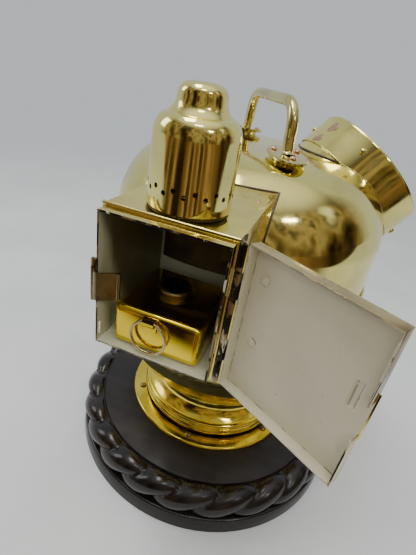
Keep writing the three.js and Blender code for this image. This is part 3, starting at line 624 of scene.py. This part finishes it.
def hood_outline(margin, bottom, steps=48):
    outline = [(HOOD_R + margin, bottom)]
    for i in range(steps + 1):
        t = math.pi / 2 * (i / steps) ** 1.15
        r = 0 if i == steps else (HOOD_R + margin) * math.cos(t) ** 0.4
        outline.append((r, HOOD_SHOULDER + (HOOD_TOP + margin - HOOD_SHOULDER) * math.sin(t) ** 1.29))
    return outline


def hood_height(r, margin=0.0):
    """Height of the hood's surface at a distance from its axis."""
    t = math.acos(min(1, (r / (HOOD_R + margin)) ** 2.5))
    return HOOD_SHOULDER + (HOOD_TOP + margin - HOOD_SHOULDER) * math.sin(t) ** 1.29


def hood_tool(margin):
    outline = [(0, 200)] + hood_outline(margin, 200)
    return turned("hood_tool", outline, brass, 128)


WINDOW = (Matrix.Translation((0, 0, WINDOW_START)) @ Matrix.Rotation(WINDOW_AZIMUTH, 4, "Z")
          @ Matrix.Rotation(math.pi / 2 - WINDOW_RISE, 4, "Y"))


def window_point(radius, around, along):
    return WINDOW @ Vector((radius * math.cos(around), radius * math.sin(around), along))


def meets_hood(radius, around, margin=0.0):
    """Distance along the window's axis at which a line on its cylinder leaves the hood."""
    inside, outside = 80.0, 230.0
    for _ in range(40):
        middle = (inside + outside) / 2
        p = window_point(radius, around, middle)
        r = math.hypot(p.x, p.y)
        buried = r < HOOD_R + margin and p.z < hood_height(r, margin)
        inside, outside = (middle, outside) if buried else (inside, middle)
    return outside


def build_hood():
    outline = hood_outline(0, HOOD_BOTTOM) + hood_outline(-SHEET, HOOD_BOTTOM)[::-1]
    hood = turned("hood_spun", outline, brass, 160)
    viewing, faces = spin([(0, 60), (NECK_R - 4, 60), (NECK_R - 4, 260), (0, 260)], 96)
    cut(hood, make("viewing", [WINDOW @ Vector(v) for v in viewing], faces, brass))
    cut(hood, box("light", (-34, 34), (-170, -90), (307, 352), brass))
    attach(hood, "hood", "brass", "hood_shell")
    low, inner = HOOD_BOTTOM + 0.2, HOOD_R + GAP
    bead = rounded([(inner, low), (inner + 2.4, low), (inner + 2.4, low + 4), (inner, low + 4)], 1.4, 6)
    attach(turned("hood_rim_bead", bead, brass, 160), "hood", "brass", "hood_bead")


def window_sleeve(name, profile, material, sides=128):
    """A tube about the window's axis. Each profile point is a radius and a distance along the axis, where
    a distance below zero means that far above the hood's surface."""
    rows = []
    for r, along in profile:
        row = []
        for k in range(sides):
            a = TAU * k / sides
            least = meets_hood(r, a, GAP)
            row.append(window_point(r, a, least - along if along < 0 else max(along, least)))
        rows.append(row)
    verts, faces = loft(rows, close_rows=True)
    return make(name, verts, faces, material)


def build_window():
    top = COLLAR_FROM + 15
    inside = NECK_R - 1.5
    tube = [(inside, -0.05), (NECK_R, -0.05), (NECK_R, 150), (NECK_R, top - 0.5)]
    tube += [(NECK_R - 0.5, top), (inside, top), (inside, 150)]
    neck = window_sleeve("window_neck_tube", tube, brass)
    attach(neck, "hood", "brass", "window_neck")
    inner = NECK_R + GAP
    lip = COLLAR_TO
    profile = [(inner, COLLAR_FROM), (COLLAR_R - 0.4, COLLAR_FROM - 0.1), (COLLAR_R, COLLAR_FROM + 0.4)]
    profile += [(COLLAR_R, z) for z in (165, 173, 181, lip - 3)]
    profile += [(COLLAR_R + 0.1, lip - 1.6), (COLLAR_R - 0.5, lip - 0.4)]
    profile += [(COLLAR_R - 1.6, lip), (COLLAR_R - 4.6, lip),
                (COLLAR_R - 5.7, lip - 0.4), (COLLAR_R - 6, lip - 1), (COLLAR_R - 5.6, lip - 1.5),
                (inner, lip - 1.5), (inner, 175)]
    collar = window_sleeve("window_collar_tube", profile, brass)
    attach(collar, "hood", "brass", "window_collar")
    turns = [TAU * k / 128 for k in range(128)]
    rim = [window_point(COLLAR_R - 0.3, a, max(COLLAR_FROM + 0.6, meets_hood(COLLAR_R, a, 0.1))) for a in turns]
    verts, faces = sweep(rim, 0.8, 10, True)
    attach(make("collar_rim_wire", verts, faces, brass, 60), "hood", "brass")
    seam = [window_point(NECK_R + 0.3, a, meets_hood(NECK_R, a, 0.4)) for a in turns]
    verts, faces = sweep(seam, 0.8, 10, True)
    attach(make("window_solder", verts, faces, solder, 60), "hood", "brass")
    low = COLLAR_FROM + 18.8
    seat = [(NECK_R - 5, low), (NECK_R - 0.2, low), (NECK_R - 0.2, low + 3), (NECK_R - 5, low + 3)]
    ring, faces = spin(rounded(seat))
    ring = make("window_glass_seat", [WINDOW @ Vector(v) for v in ring], faces, brass)
    attach(ring, "hood", "brass", "window_glass_ring")
    for i, (along, around) in enumerate([(178.8, 224.8), (173.3, 155.7), (166.5, -43)]):
        around = math.radians(around)
        at = window_point(COLLAR_R + GAP, around, along)
        out = (at - window_point(0, 0, along)).normalized()
        head = dome(f"collar_screw_head_{i + 1}", at, out, 3.2, 2.2, brass, i * 1.1)
        attach(head, "hood", "brass", f"collar_screw_{i + 1}")
    patches = [(181, 188, 5.2), (177, 186.4, 3.6), (164, 185, 4.4), (161, 181, 3)]
    for i, (along, around, size) in enumerate(patches):
        at = window_point(COLLAR_R, math.radians(around), along)
        out = (at - window_point(0, 0, along)).normalized()
        attach(dome(f"collar_patch_{i + 1}", at, out, size, 0.6, patina), "hood", "copper")


# ---- handle ---------------------------------------------------------------------------------------


def along_handle(along, aside, z):
    c, s = math.cos(HANDLE_AZIMUTH), math.sin(HANDLE_AZIMUTH)
    return Vector((along * c - aside * s, along * s + aside * c, z))


def on_foot(side, along=0.0, aside=0.0):
    """The frame of one sloping foot plate, from its middle."""
    place = Matrix.Rotation(HANDLE_AZIMUTH + (0 if side > 0 else math.pi), 4, "Z")
    place = place @ Matrix.Translation((HANDLE_FOOT, 0, FOOT_Z)) @ Matrix.Rotation(FOOT_TILT, 4, "Y")
    return place @ Matrix.Translation((along, aside, 0))


def foot_plate(name, side):
    half, place, sides = FOOT_PLATE / 2, on_foot(side), 64
    profile = [(0.001, -half), (0.96, -half), (0.985, -half + 0.3), (1, 0)]
    profile += [(0.985, half - 0.5), (0.95, half - 0.1), (0.9, half), (0.001, half)]
    rows = [[place @ Vector((25 * q * math.cos(TAU * k / sides), 17 * q * math.sin(TAU * k / sides), z))
             for k in range(sides)] for q, z in profile]
    verts, faces = loft(rows)
    plate = make(name, verts, faces, handle_brass, 50)
    pad, faces = spin(rounded([(0.001, -18), (FOOT_PAD_R, -18), (FOOT_PAD_R, -half), (0.001, -half)], 0.5), 48)
    pad = cut(make("pad", [place @ Vector(v) for v in pad], faces, handle_brass), hood_tool(GAP))
    return [plate, pad]


def build_handle():
    shoulder, inset, steps = HANDLE_TOP - HANDLE_CORNER, HANDLE_LEG - HANDLE_CORNER, 18
    half = [(HANDLE_FOOT + (HANDLE_LEG - HANDLE_FOOT) * k / 12, FOOT_Z + (shoulder - FOOT_Z) * k / 12)
            for k in range(12)]
    for k in range(steps + 1):
        t = k / steps
        half.append((HANDLE_LEG - HANDLE_CORNER * t * t, HANDLE_TOP - HANDLE_CORNER * (1 - t) ** 2))
    half += [(inset * (1 - k / 8), HANDLE_TOP) for k in range(1, 9)]
    route = half + [(-s, z) for s, z in half[-2::-1]]

    def thickness(share):
        end = min(share, 1 - share) * len(route)
        return HANDLE_BAR - 0.5 * max(0, 1 - end / 12) + 3 * max(0, 1 - end / 2.2) ** 2

    verts, faces = sweep([along_handle(s, 0, z) for s, z in route], thickness, 24)
    grip = make("handle_grip", verts, faces, handle_brass, 50)
    handle = join("handle_cast", [grip] + foot_plate("plate_a", 1) + foot_plate("plate_b", -1))
    attach(handle, "hood", "brass", "handle")
    spots = [(1, 14, 0), (1, -9, -10), (1, -9, 12), (-1, 14, 0), (-1, -9, -10), (-1, -9, 12)]
    for i, (side, along, aside) in enumerate(spots):
        place = on_foot(side, along, aside)
        at = place @ Vector((0, 0, FOOT_PLATE / 2 + GAP))
        out = (place.to_3x3() @ Vector((0, 0, 1))).normalized()
        head = dome(f"handle_rivet_head_{i + 1}", at, out, 3, 2, copper)
        attach(head, "hood", "copper", f"handle_rivet_{i + 1}")


# ---- lamp box -------------------------------------------------------------------------------------


def build_lamp_box():
    back = -100
    walls = box("lamp_box_folded", (-BOX_HALF, BOX_HALF), (BOX_SHOULDER, back), (BOX_LOW, BOX_HIGH), box_brass)
    neck = box("neck", (-NECK_HALF, NECK_HALF), (BOX_FRONT, -210), (NECK_LOW, NECK_HIGH), box_brass)
    cut(walls, neck, "UNION")
    inner = BOX_HALF - SHEET
    cut(walls, box("room", (-inner, inner), (-212, back + 1), (BOX_FLOOR, BOX_HIGH - SHEET), box_brass))
    mouth = NECK_HALF - SHEET
    cut(walls, box("mouth", (-mouth, mouth), (BOX_FRONT - 1, -205), (BOX_FLOOR, NECK_HIGH - SHEET), box_brass))
    for side in (-1, 1):
        x = sorted((side * 37.4, side * 41.4))
        cut(walls, box("slot", x, (BOX_FRONT + 2, BOX_FRONT + 4.2), (279, 288.5), box_brass))
    hole = [(0, BOX_HIGH - 6), (20.5, BOX_HIGH - 6), (20.5, BOX_HIGH + 6), (0, BOX_HIGH + 6)]
    cut(walls, turned("hole", hole, box_brass, 64, (0, LAMP_Y, 0)))
    soften(walls, 0.45, 2, 60)
    cut(walls, hood_tool(GAP))

    def within(centre, normal):
        if not (abs(centre.x) < 40.2 and 275.2 < centre.z < 367.6 and centre.y > BOX_FRONT + 0.3):
            return False
        inward = Vector((-centre.x, 0, 320 - centre.z))
        return normal.dot(inward) > 0.3 * inward.length

    paint_faces(walls, box_cream, within)
    paint_faces(walls, chipped, lambda centre, normal: centre.y < BOX_FRONT + 0.4 and centre.z > 275)
    sill = [f for f in walls.data.polygons if f.center.z / MM < 276 and f.center.y / MM < BOX_FRONT + 0.6]
    for face in sill:
        face.material_index = len(walls.data.materials) - 2
    attach(walls, "hood", "brass", "lamp_box")
    half = BOX_HALF + 0.1
    path = [(-half + 2 * half * k / 8, BOX_SHOULDER + 0.6, BOX_HIGH + 0.05) for k in range(9)]
    verts, faces = sweep(path, 1.3, 14)
    attach(make("roof_bead", verts, faces, box_brass), "hood", "brass")
    rivet = dome("roof_rivet", (33.4, -143.9, BOX_HIGH), (0, 0, 1), 1.8, 0.7, copper)
    attach(rivet, "hood", "copper")
    build_box_solder()


def build_box_solder():
    """The soldered seam where each side wall and the roof meet the hood."""
    half = BOX_HALF + 0.2
    path = []
    for k in range(21):
        z = 276 + (BOX_HIGH - 276) * k / 20
        path.append((half, -math.sqrt(hood_radius(z) ** 2 - half * half), z))
    over = []
    for k in range(1, 21):
        x = half - 2 * half * k / 20
        over.append((x, -math.sqrt(hood_radius(BOX_HIGH) ** 2 - x * x), BOX_HIGH + 0.2))
    down = [(-x, y, z) for x, y, z in reversed(path)][1:]
    verts, faces = sweep(path + over + down, 0.9, 8)
    attach(make("box_solder", verts, faces, solder, 60), "hood", "brass")


def hood_radius(z):
    low, high = 0.0, float(HOOD_R)
    if z <= HOOD_SHOULDER:
        return HOOD_R + 0.4
    for _ in range(30):
        middle = (low + high) / 2
        low, high = (middle, high) if hood_height(middle) > z else (low, middle)
    return high + 0.4


# ---- chimney --------------------------------------------------------------------------------------


def chimney_profile(margin):
    """Straight wall, quarter-round shoulder, hollow neck and a rounded cap."""
    points = [(CHIMNEY_R, 0), (CHIMNEY_R - 0.1, 20), (25.2, 36), (25.05, 39.5)]
    for k in range(1, 9):
        a = math.pi / 2 * k / 8
        points.append((25.05 - 7.2 * (1 - math.cos(a)) ** 0.9, 39.5 + 10.8 * math.sin(a)))
    points += [(16.6, 51.8), (15.4, 53.2), (14.5, 54.8), (14.1, 56.4), (13.95, 58), (13.8, 59.4)]
    for k in range(1, 9):
        a = math.pi / 2 * k / 8
        points.append((13.8 * math.cos(a) ** 0.55 if k < 8 else 0, 59.4 + 6.9 * math.sin(a)))
    out = []
    for r, rise in points:
        if r == 0:
            out.append((0, CHIMNEY_LOW + rise + margin))
        else:
            out.append((r + margin, CHIMNEY_LOW + rise))
    return out


def build_chimney():
    outline = chimney_profile(0) + chimney_profile(-0.9)[::-1]
    wall = turned("chimney_spun", outline, brass, 104, (0, LAMP_Y, 0))
    tools = []
    for i in range(VENTS):
        for row in (0, 1):
            angle = FIRST_VENT + 360 / VENTS * (i + row / 2)
            z = CHIMNEY_LOW + 10.5 + 2.5 * row
            start = Vector(polar(CHIMNEY_R - 4, angle, z)) + Vector((0, LAMP_Y, 0))
            end = Vector(polar(CHIMNEY_R + 4, angle, z)) + Vector((0, LAMP_Y, 0))
            tools.append(rod("vent", start, end, VENT_R, shadow_brass, 16))
    cut(wall, join("vents", tools))
    attach(wall, "chimney", "brass", "chimney")
    low = BOX_HIGH + GAP
    seat = rounded([(21.2, low), (CHIMNEY_R - 0.6, low), (CHIMNEY_R - 0.6, low + 2), (CHIMNEY_R - 2.4, low + 2),
                    (CHIMNEY_R - 2.4, low + 8), (21.2, low + 8)], 0.4)
    # painted shade: the seat is near-black where it sits in the gap under the chimney
    seat = turned("chimney_seat_turned", seat, shadow_brass, 72, (0, LAMP_Y, 0))
    attach(seat, "hood", "dark_brass", "chimney_seat")


# ---- hinge and door -------------------------------------------------------------------------------


def hinge_leaf(name, first, side, near, far):
    x = (HINGE_X + near, HINGE_X + near + 0.9)
    y = sorted((HINGE_Y + side * 2.8, HINGE_Y + side * far))
    parts = [box("plate", x, y, (KNUCKLES[0], KNUCKLES[-1]), chipped)]
    for i in range(first, 5, 2):
        low, high = KNUCKLES[i] + GAP, KNUCKLES[i + 1] - GAP
        outline = rounded([(1.15, low), (1.95, low), (1.95, high), (1.15, high)], 0.25, 2)
        parts.append(turned("knuckle", outline, chipped, 24, (HINGE_X, HINGE_Y, 0)))
        y = sorted((HINGE_Y + side * 0.6, HINGE_Y + side * 3))
        parts.append(box("web", x, y, (low, high), chipped))
    return join(name, parts)


def build_hinge():
    leaf = hinge_leaf("hinge_leaf_on_box", 0, 1, BOX_HALF + GAP - HINGE_X, 14)
    attach(leaf, "hood", "brass", "hinge_leaf_box")
    leaf = hinge_leaf("hinge_leaf_on_door", 1, -1, DOOR_HALF + GAP - HINGE_X, 8.6)
    attach(turn_about(leaf, HINGE_X, HINGE_Y, DOOR_OPEN), "door", "brass", "hinge_leaf_door")
    low, high = [(HINGE_X, HINGE_Y, z) for z in (KNUCKLES[0] - 0.6, KNUCKLES[-1] + 1.2)]
    pin = rod("hinge_wire", low, high, 0.85, steel, 16)
    attach(pin, "hood", "steel", "hinge_pin")


def pressed(x, z):
    """How far the door's sheet is pushed outwards: two slots near the free edge, and its slow waves."""
    depth = 0.14 * math.sin(x * 0.11 + 1) * math.sin(z * 0.085)
    for left, right, low, high, deep in ((-34.4, -31.2, 316.5, 331.8, 0.8), (-38.2, -35.8, 287.9, 294.9, 0.25)):
        inside = min(x - left, right - x, z - low, high - z)
        depth += deep * min(1, max(0, (inside + 0.7) / 0.9))
    return depth


def door_sheet():
    """The door's face as one thin sheet with its pressings on both sides."""
    across, up = 110, 120
    x = [-DOOR_HALF + 2 * DOOR_HALF * i / across for i in range(across + 1)]
    z = [DOOR_LOW + (DOOR_HIGH - DOOR_LOW) * j / up for j in range(up + 1)]
    verts, faces, width = [], [], up + 1
    for depth in (0.6, 0):
        for i, a in enumerate(x):
            for j, b in enumerate(z):
                flat = i in (0, across) or j in (0, up)
                verts.append((a, DOOR_FACE + depth - (0 if flat else pressed(a, b)), b))
    back = len(verts) // 2
    for i in range(across):
        for j in range(up):
            quad = [i * width + j, i * width + j + 1, (i + 1) * width + j + 1, (i + 1) * width + j]
            faces += [quad, [back + q for q in quad[::-1]]]
    edge = [i * width for i in range(across + 1)] + [across * width + j for j in range(1, up + 1)]
    edge += [i * width + up for i in range(across - 1, -1, -1)] + [j for j in range(up - 1, 0, -1)]
    for a, b in zip(edge, edge[1:] + edge[:1]):
        faces.append([a, b, back + b, back + a])
    return make("door_sheet", verts, faces, box_brass, 60)


def build_door():
    rim, face = 1, 0.6
    wide, high = (-DOOR_HALF, DOOR_HALF), (DOOR_LOW, DOOR_HIGH)
    tray = box("door_rim", wide, (DOOR_FACE + face, DOOR_REAR), high, worn_brass)
    cut(tray, box("hollow", (-DOOR_HALF + rim, DOOR_HALF - rim), (DOOR_FACE - 2, DOOR_REAR + 2),
                  (DOOR_LOW + rim, DOOR_HIGH - rim), door_cream))
    cut(tray, box("cutaway", (-DOOR_HALF - 2, -DOOR_HALF + 2 * rim), (DOOR_FACE - 2, DOOR_REAR + 2),
                  (HASP_LOW - 1, HASP_HIGH + 1), door_cream))
    soften(tray, 0.35, 3, 60)

    def within(centre, normal):
        inward = Vector((-centre.x, 0, 320 - centre.z))
        inside = abs(centre.x) < DOOR_HALF - 0.6 and DOOR_LOW + 0.6 < centre.z < DOOR_HIGH - 0.6
        return (inside and normal.dot(inward) > 0.2 * inward.length) or normal.y > 0.6 and centre.z < 360

    paint_faces(tray, door_cream, within)
    paint_faces(tray, chipped, lambda centre, normal: normal.y > 0.3 and (
        centre.z > 366 or centre.x < -DOOR_HALF + 1.2))
    sheet = door_sheet()
    paint_faces(sheet, door_cream, lambda centre, normal: normal.y > 0.3)
    # painted shade on the floor and walls of the pressed slot
    paint_faces(sheet, shaded_cream, lambda centre, normal: normal.y > 0 and centre.y > DOOR_FACE and (
        -34.6 < centre.x < -31 and 316.2 < centre.z < 332.1))
    rivets = [dome("rivet", (x, DOOR_FACE + face, z), (0, 1, 0), 2.9, 1.5, door_cream)
              for x, z in ((31.6, 350.2), (30.1, 309.9))]
    pan = join("door_pan_pressed", [tray, sheet] + rivets)
    attach(turn_about(pan, HINGE_X, HINGE_Y, DOOR_OPEN), "door", "brass", "door_pan")
    low = DOOR_FACE - GAP
    ends = (HASP_LOW - 5, HASP_HIGH + 5)
    keeper = box("door_keeper_strip", (-DOOR_HALF - 0.8, -36), (low - 0.6, low), ends, brass)
    soften(keeper, 0.2, 2)
    attach(turn_about(keeper, HINGE_X, HINGE_Y, DOOR_OPEN), "door", "brass", "door_keeper")


# ---- hasp -----------------------------------------------------------------------------------------


def strip(name, path, low, high, thickness, material):
    """A bent strip: a path in plan, given thickness, standing from low to high."""
    left, right = [], []
    points = [Vector((x, y)) for x, y in path]
    for i, p in enumerate(points):
        before, after = points[max(i - 1, 0)], points[min(i + 1, len(points) - 1)]
        along = (after - before).normalized()
        across = Vector((-along.y, along.x)) * thickness / 2
        left.append(p + across)
        right.append(p - across)
    ring = left + right[::-1]
    rows = [[(p.x, p.y, z) for p in ring] for z in (low, high)]
    verts, faces = loft(rows)
    count = len(points)
    total = len(ring)
    for base, flip in ((0, True), (total, False)):
        for i in range(count - 1):
            quad = [base + i, base + i + 1, base + total - 2 - i, base + total - 1 - i]
            faces.append(quad[::-1] if flip else quad)
    return make(name, verts, faces, material, 40)


def arc(cx, cy, radius, start, end, steps):
    return [(cx + radius * math.cos(math.radians(start + (end - start) * k / steps)),
             cy + radius * math.sin(math.radians(start + (end - start) * k / steps))) for k in range(steps + 1)]


def build_hasp():
    bend = 3
    path = [(0, -1.4)] + arc(bend, bend - HASP_REACH, bend, 180, 270, 10)
    path += [(HASP_LENGTH - 0.6, -HASP_REACH)] + arc(HASP_LENGTH, -HASP_REACH - 0.9, 0.9, 90, -200, 12)
    strap = strip("strap", path, HASP_LOW, HASP_HIGH, 1.0, dark_bronze)
    eye = turned("eye", rounded([(1.1, HASP_LOW), (1.8, HASP_LOW), (1.8, HASP_HIGH), (1.1, HASP_HIGH)], 0.2, 2),
                 dark_bronze, 24)
    hasp = join("hasp_strap", [strap, eye])
    pivot = Matrix.Translation(Vector((HASP_X, HASP_Y, 0)) * MM)
    hasp.data.transform(pivot @ Matrix.Rotation(HASP_LEAN, 4, "Z"))
    attach(hasp, "hasp", "brass", "hasp")


# ---- oil tank -------------------------------------------------------------------------------------


def build_tank():
    sides = [(-TANK_HALF, TANK_HALF), (TANK_FRONT, TANK_BACK), (TANK_LOW, TANK_HIGH)]
    tank = box("tank_body", *sides, yellow_brass)
    soften(tank, 4.6, 6)
    hollow = box("hollow", *[(low + 1, high - 1) for low, high in sides], yellow_brass)
    soften(hollow, 4, 3)
    cut(tank, hollow)
    hole = [(0, TANK_HIGH - 6), (BURNER_R, TANK_HIGH - 6), (BURNER_R, TANK_HIGH + 6), (0, TANK_HIGH + 6)]
    burner = (BURNER_X, BURNER_Y, 0)
    cut(tank, turned("hole", hole, yellow_brass, 48, burner))
    attach(tank, "tank", "yellow_brass", "oil_tank")
    low, r = TANK_HIGH + GAP, BURNER_R
    outline = [(r, low), (r + 4.4, low), (r + 4.4, low + 0.9), (r + 2, low + 1.5), (r + 2.2, low + 2)]
    outline += [(r + 2.8, low + 2.6), (r + 2.9, low + 3.2), (r + 2.5, low + 3.9), (r + 1.8, low + 4.4)]
    outline += [(r + 0.8, low + 4.5), (r, low + 4.1)]
    collar = turned("burner_collar_turned", outline, worn_brass, 72, burner)
    attach(collar, "tank", "yellow_brass", "burner_collar")
    centre = Vector((RING_X, RING_Y, RING_Z - RING_R + GAP))
    turns = [TAU * k / 56 for k in range(56)]
    path = [centre + Vector((RING_R * math.cos(a), 0, RING_R * math.sin(a))) for a in turns]
    verts, faces = sweep(path, 1, 14, True)
    attach(make("pull_ring_wire", verts, faces, worn_brass, 60), "ring", "brass", "pull_ring")


# ---- compass --------------------------------------------------------------------------------------


def build_compass():
    top = CARD_Z + 5.4
    outline = [(0, 176), (30, 176), (52, 180.6), (70, 189), (84, 203), (90.4, 216), (COMPASS_R, 226),
               (COMPASS_R, top - 2.2), (COMPASS_R + 3, top - 2.2), (COMPASS_R + 3, top), (COMPASS_R - 1.6, top),
               (COMPASS_R - 1.6, 226), (89, 216.6), (82.6, 203.8), (69, 190.4), (51, 182), (29.6, 177.6), (0, 177.6)]
    attach(turned("compass_bowl_spun", outline, brass, 96, sharp=50), "compass", "brass", "compass_bowl")
    low = CARD_Z + 5.8
    bezel = rounded([(COMPASS_R - 6, low), (COMPASS_R + 3, low), (COMPASS_R + 3, low + 3), (COMPASS_R - 3, low + 5),
                     (COMPASS_R - 6, low + 3)])
    attach(turned("compass_bezel_turned", bezel, brass, 96), "compass", "brass", "compass_bezel")
    low, high = CARD_Z - 6, CARD_Z - 5
    card = turned("compass_card_disc", [(0, low), (CARD_R, low), (CARD_R, high), (0, high)], card_paper, 96)
    attach(card, "card", "card", "compass_card")
    build_card_marks(high + 0.05)


def build_card_marks(z):
    """Degree ticks, a ring and a plain eight-point star."""
    verts, faces = [], []

    def patch(points):
        first = len(verts)
        verts.extend((x, y, h) for h in (z, z + 0.12) for x, y in points)
        count = len(points)
        faces.append(list(range(first, first + count))[::-1])
        faces.append(list(range(first + count, first + 2 * count)))
        for i in range(count):
            k = (i + 1) % count
            faces.append([first + i, first + k, first + count + k, first + count + i])

    for degrees in range(0, 360, 5):
        long = degrees % 10 == 0
        wide = 0.5 if long else 0.3
        a = math.radians(degrees)
        out, side = Vector((math.cos(a), math.sin(a))), Vector((-math.sin(a), math.cos(a)))
        inner = 68 if long else 72
        patch([tuple(out * r + side * w) for r, w in ((inner, -wide), (76, -wide), (76, wide), (inner, wide))])
    for k in range(8):
        a = TAU * k / 8
        reach = 62 if k % 2 == 0 else 44
        out, side = Vector((math.cos(a), math.sin(a))), Vector((-math.sin(a), math.cos(a)))
        patch([tuple(out * 6), tuple(out * 14 + side * 6), tuple(out * reach)])
    marks = make("compass_card_marks", verts, faces, ink)
    ring = turned("ring", [(65, z), (65.7, z), (65.7, z + 0.12), (65, z + 0.12)], ink, 96)
    attach(join("compass_card_print", [marks, ring]), "card", "card")


# ---- nodes kept as they are -----------------------------------------------------------------------


def dress_kept_nodes():
    looks = {
        "gimbal_bracket_1": worn_brass, "gimbal_bracket_2": worn_brass, "gimbal_ring": brass,
        "gimbal_pin_1": steel, "gimbal_pin_2": steel, "compass_pin_1": steel, "compass_pin_2": steel,
        "compass_weight": lead, "card_pivot": steel, "card_magnet_1": steel, "card_magnet_2": steel,
        # the lamp box's back plate takes the painted-shade cream
        "compass_glass": glass, "window_glass": glass, "lamp_pane": sooty_glass, "lamp_back_plate": shaded_cream,
        "hasp_bracket": worn_brass, "hasp_pin": steel, "ring_bracket": yellow_brass,
    }
    for name, material in looks.items():
        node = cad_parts[name]
        node.data.materials.clear()
        node.data.materials.append(material)


# ---- studio ---------------------------------------------------------------------------------------


def area_light(name, at, towards, size, power, color=(1, 1, 1)):
    data = bpy.data.lights.new(name, "AREA")
    data.shape = "RECTANGLE"
    data.size, data.size_y = size
    data.energy = power
    data.color = color
    lamp = bpy.data.objects.new(name, data)
    lamp.location = at
    lamp.rotation_mode = "QUATERNION"
    lamp.rotation_quaternion = (Vector(towards) - Vector(at)).to_track_quat("-Z", "Y")
    bpy.context.scene.collection.objects.link(lamp)
    return lamp


def build_floor():
    """A pale cloth that fades into the backdrop far off. Mirrors see it end a little way in front."""
    n = Surface("pale_cloth")
    tone = n.mix(n.remap(n.noise(5, 4), 0.3, 0.75), (0.84, 0.87, 0.89), (0.76, 0.79, 0.82))
    n.link(tone, n.shader.inputs["Base Color"])
    n.set(Roughness=0.9)
    n.link(n.bump(n.noise(9, 3), 0.5, 12 * MM), n.shader.inputs["Normal"])
    far, dark = n.add("ShaderNodeEmission"), n.add("ShaderNodeEmission")
    far.inputs["Color"].default_value = (*BACKDROP, 1)
    shapes = n.noise(2.3, 1, place=n.vector("NORMALIZE", "Vector"))
    n.link(n.ramp(shapes, DARK_FLOOR), dark.inputs["Color"])
    hidden = n.math("SUBTRACT", 1.0, n.add("ShaderNodeLightPath").outputs["Is Camera Ray"])
    forward = n.vector("DOT_PRODUCT", "Value", other=[-c for c in BACKWARDS])
    distance = n.vector("LENGTH", "Value")
    faded = n.either(n.remap(distance, 0.5, 2.2), n.shader.outputs["BSDF"], far.outputs["Emission"])
    ended = n.either(n.math("MULTIPLY", hidden, n.remap(forward, 0.42, 0.6)), faded, dark.outputs["Emission"])
    n.link(ended, n.tree.nodes["Material Output"].inputs["Surface"])
    corners = [(-1, -1), (1, -1), (1, 1), (-1, 1)]
    make("floor", [(FLOOR_REACH * x, FLOOR_REACH * y, 0) for x, y in corners], [(0, 1, 2, 3)], n.material)


def build_world():
    """A pale backdrop behind, soft light overhead and a dark room in front."""
    world = bpy.data.worlds.new("studio")
    bpy.context.scene.world = world
    world.use_nodes = True
    world.node_tree.nodes.clear()
    n = Nodes(world.node_tree, "Generated")
    facing = n.math("MULTIPLY", n.math("ADD", n.vector("DOT_PRODUCT", "Value", other=BACKWARDS), 1.0), 0.5)
    behind = n.ramp(facing, ((0.52, (0, 0, 0)), (0.66, (1, 1, 1))))
    around = n.mix(behind, n.ramp(n.noise(1.3, 3, (1.9, 1.9, 0.7)), DARK_ROOM), BACKDROP)
    above = n.ramp(n.axes()["Z"], OVERHEAD)
    lit, seen = n.add("ShaderNodeBackground"), n.add("ShaderNodeBackground")
    n.link(n.mix(1.0, around, above, "LIGHTEN"), lit.inputs["Color"])
    seen.inputs["Color"].default_value = (*BACKDROP, 1)
    ray = n.add("ShaderNodeLightPath").outputs["Is Camera Ray"]
    whole = n.either(ray, lit.outputs["Background"], seen.outputs["Background"])
    n.link(whole, n.add("ShaderNodeOutputWorld").inputs["Surface"])


def build_studio():
    build_floor()
    build_world()
    area_light("overhead", (-0.5, -0.1, 2.2), (0, 0, 0.2), (1.0, 0.5), 12, (1, 0.99, 0.96))
    area_light("front_strip", (0.3, -1.0, 2.1), (0, 0, 0.3), (0.5, 0.12), 3)
    area_light("right_lamp", (1.1, -0.9, 1.5), (0, 0, 0.3), (0.3, 0.1), 2)
    area_light("left_window", (-1.9, -0.3, 1.3), (0, 0, 0.25), (0.7, 0.9), 6, (0.95, 0.98, 1))
    fill = area_light("soft_fill", (0.4, -2.2, 1.7), (0, 0, 0.2), (1.6, 1.6), 17, (1, 0.98, 0.92))
    fill.visible_glossy = False


def build_camera():
    azimuth, pitch, roll = math.radians(-15.18), math.radians(28.57), math.radians(10.07)
    look = Vector((math.sin(azimuth) * math.cos(pitch), math.cos(azimuth) * math.cos(pitch), -math.sin(pitch)))
    level = look.cross(Vector((0, 0, 1))).normalized()
    above = level.cross(look)
    right = level * math.cos(roll) + above * math.sin(roll)
    up = above * math.cos(roll) - level * math.sin(roll)
    data = bpy.data.cameras.new("camera")
    data.lens = 24.445
    data.sensor_width = 36
    data.clip_start, data.clip_end = 0.01, 100
    camera = bpy.data.objects.new("camera", data)
    turn = Matrix((right, up, -look)).transposed().to_4x4()
    camera.matrix_world = Matrix.Translation((0.07605, -0.39941, 0.44308)) @ turn
    bpy.context.scene.collection.objects.link(camera)
    bpy.context.scene.camera = camera


build_camera()
build_studio()
build_plinth()
build_flange()
build_foot()
build_bowl()
build_hood()
build_window()
build_handle()
build_lamp_box()
build_chimney()
build_hinge()
build_door()
build_hasp()
build_tank()
build_compass()
dress_kept_nodes()
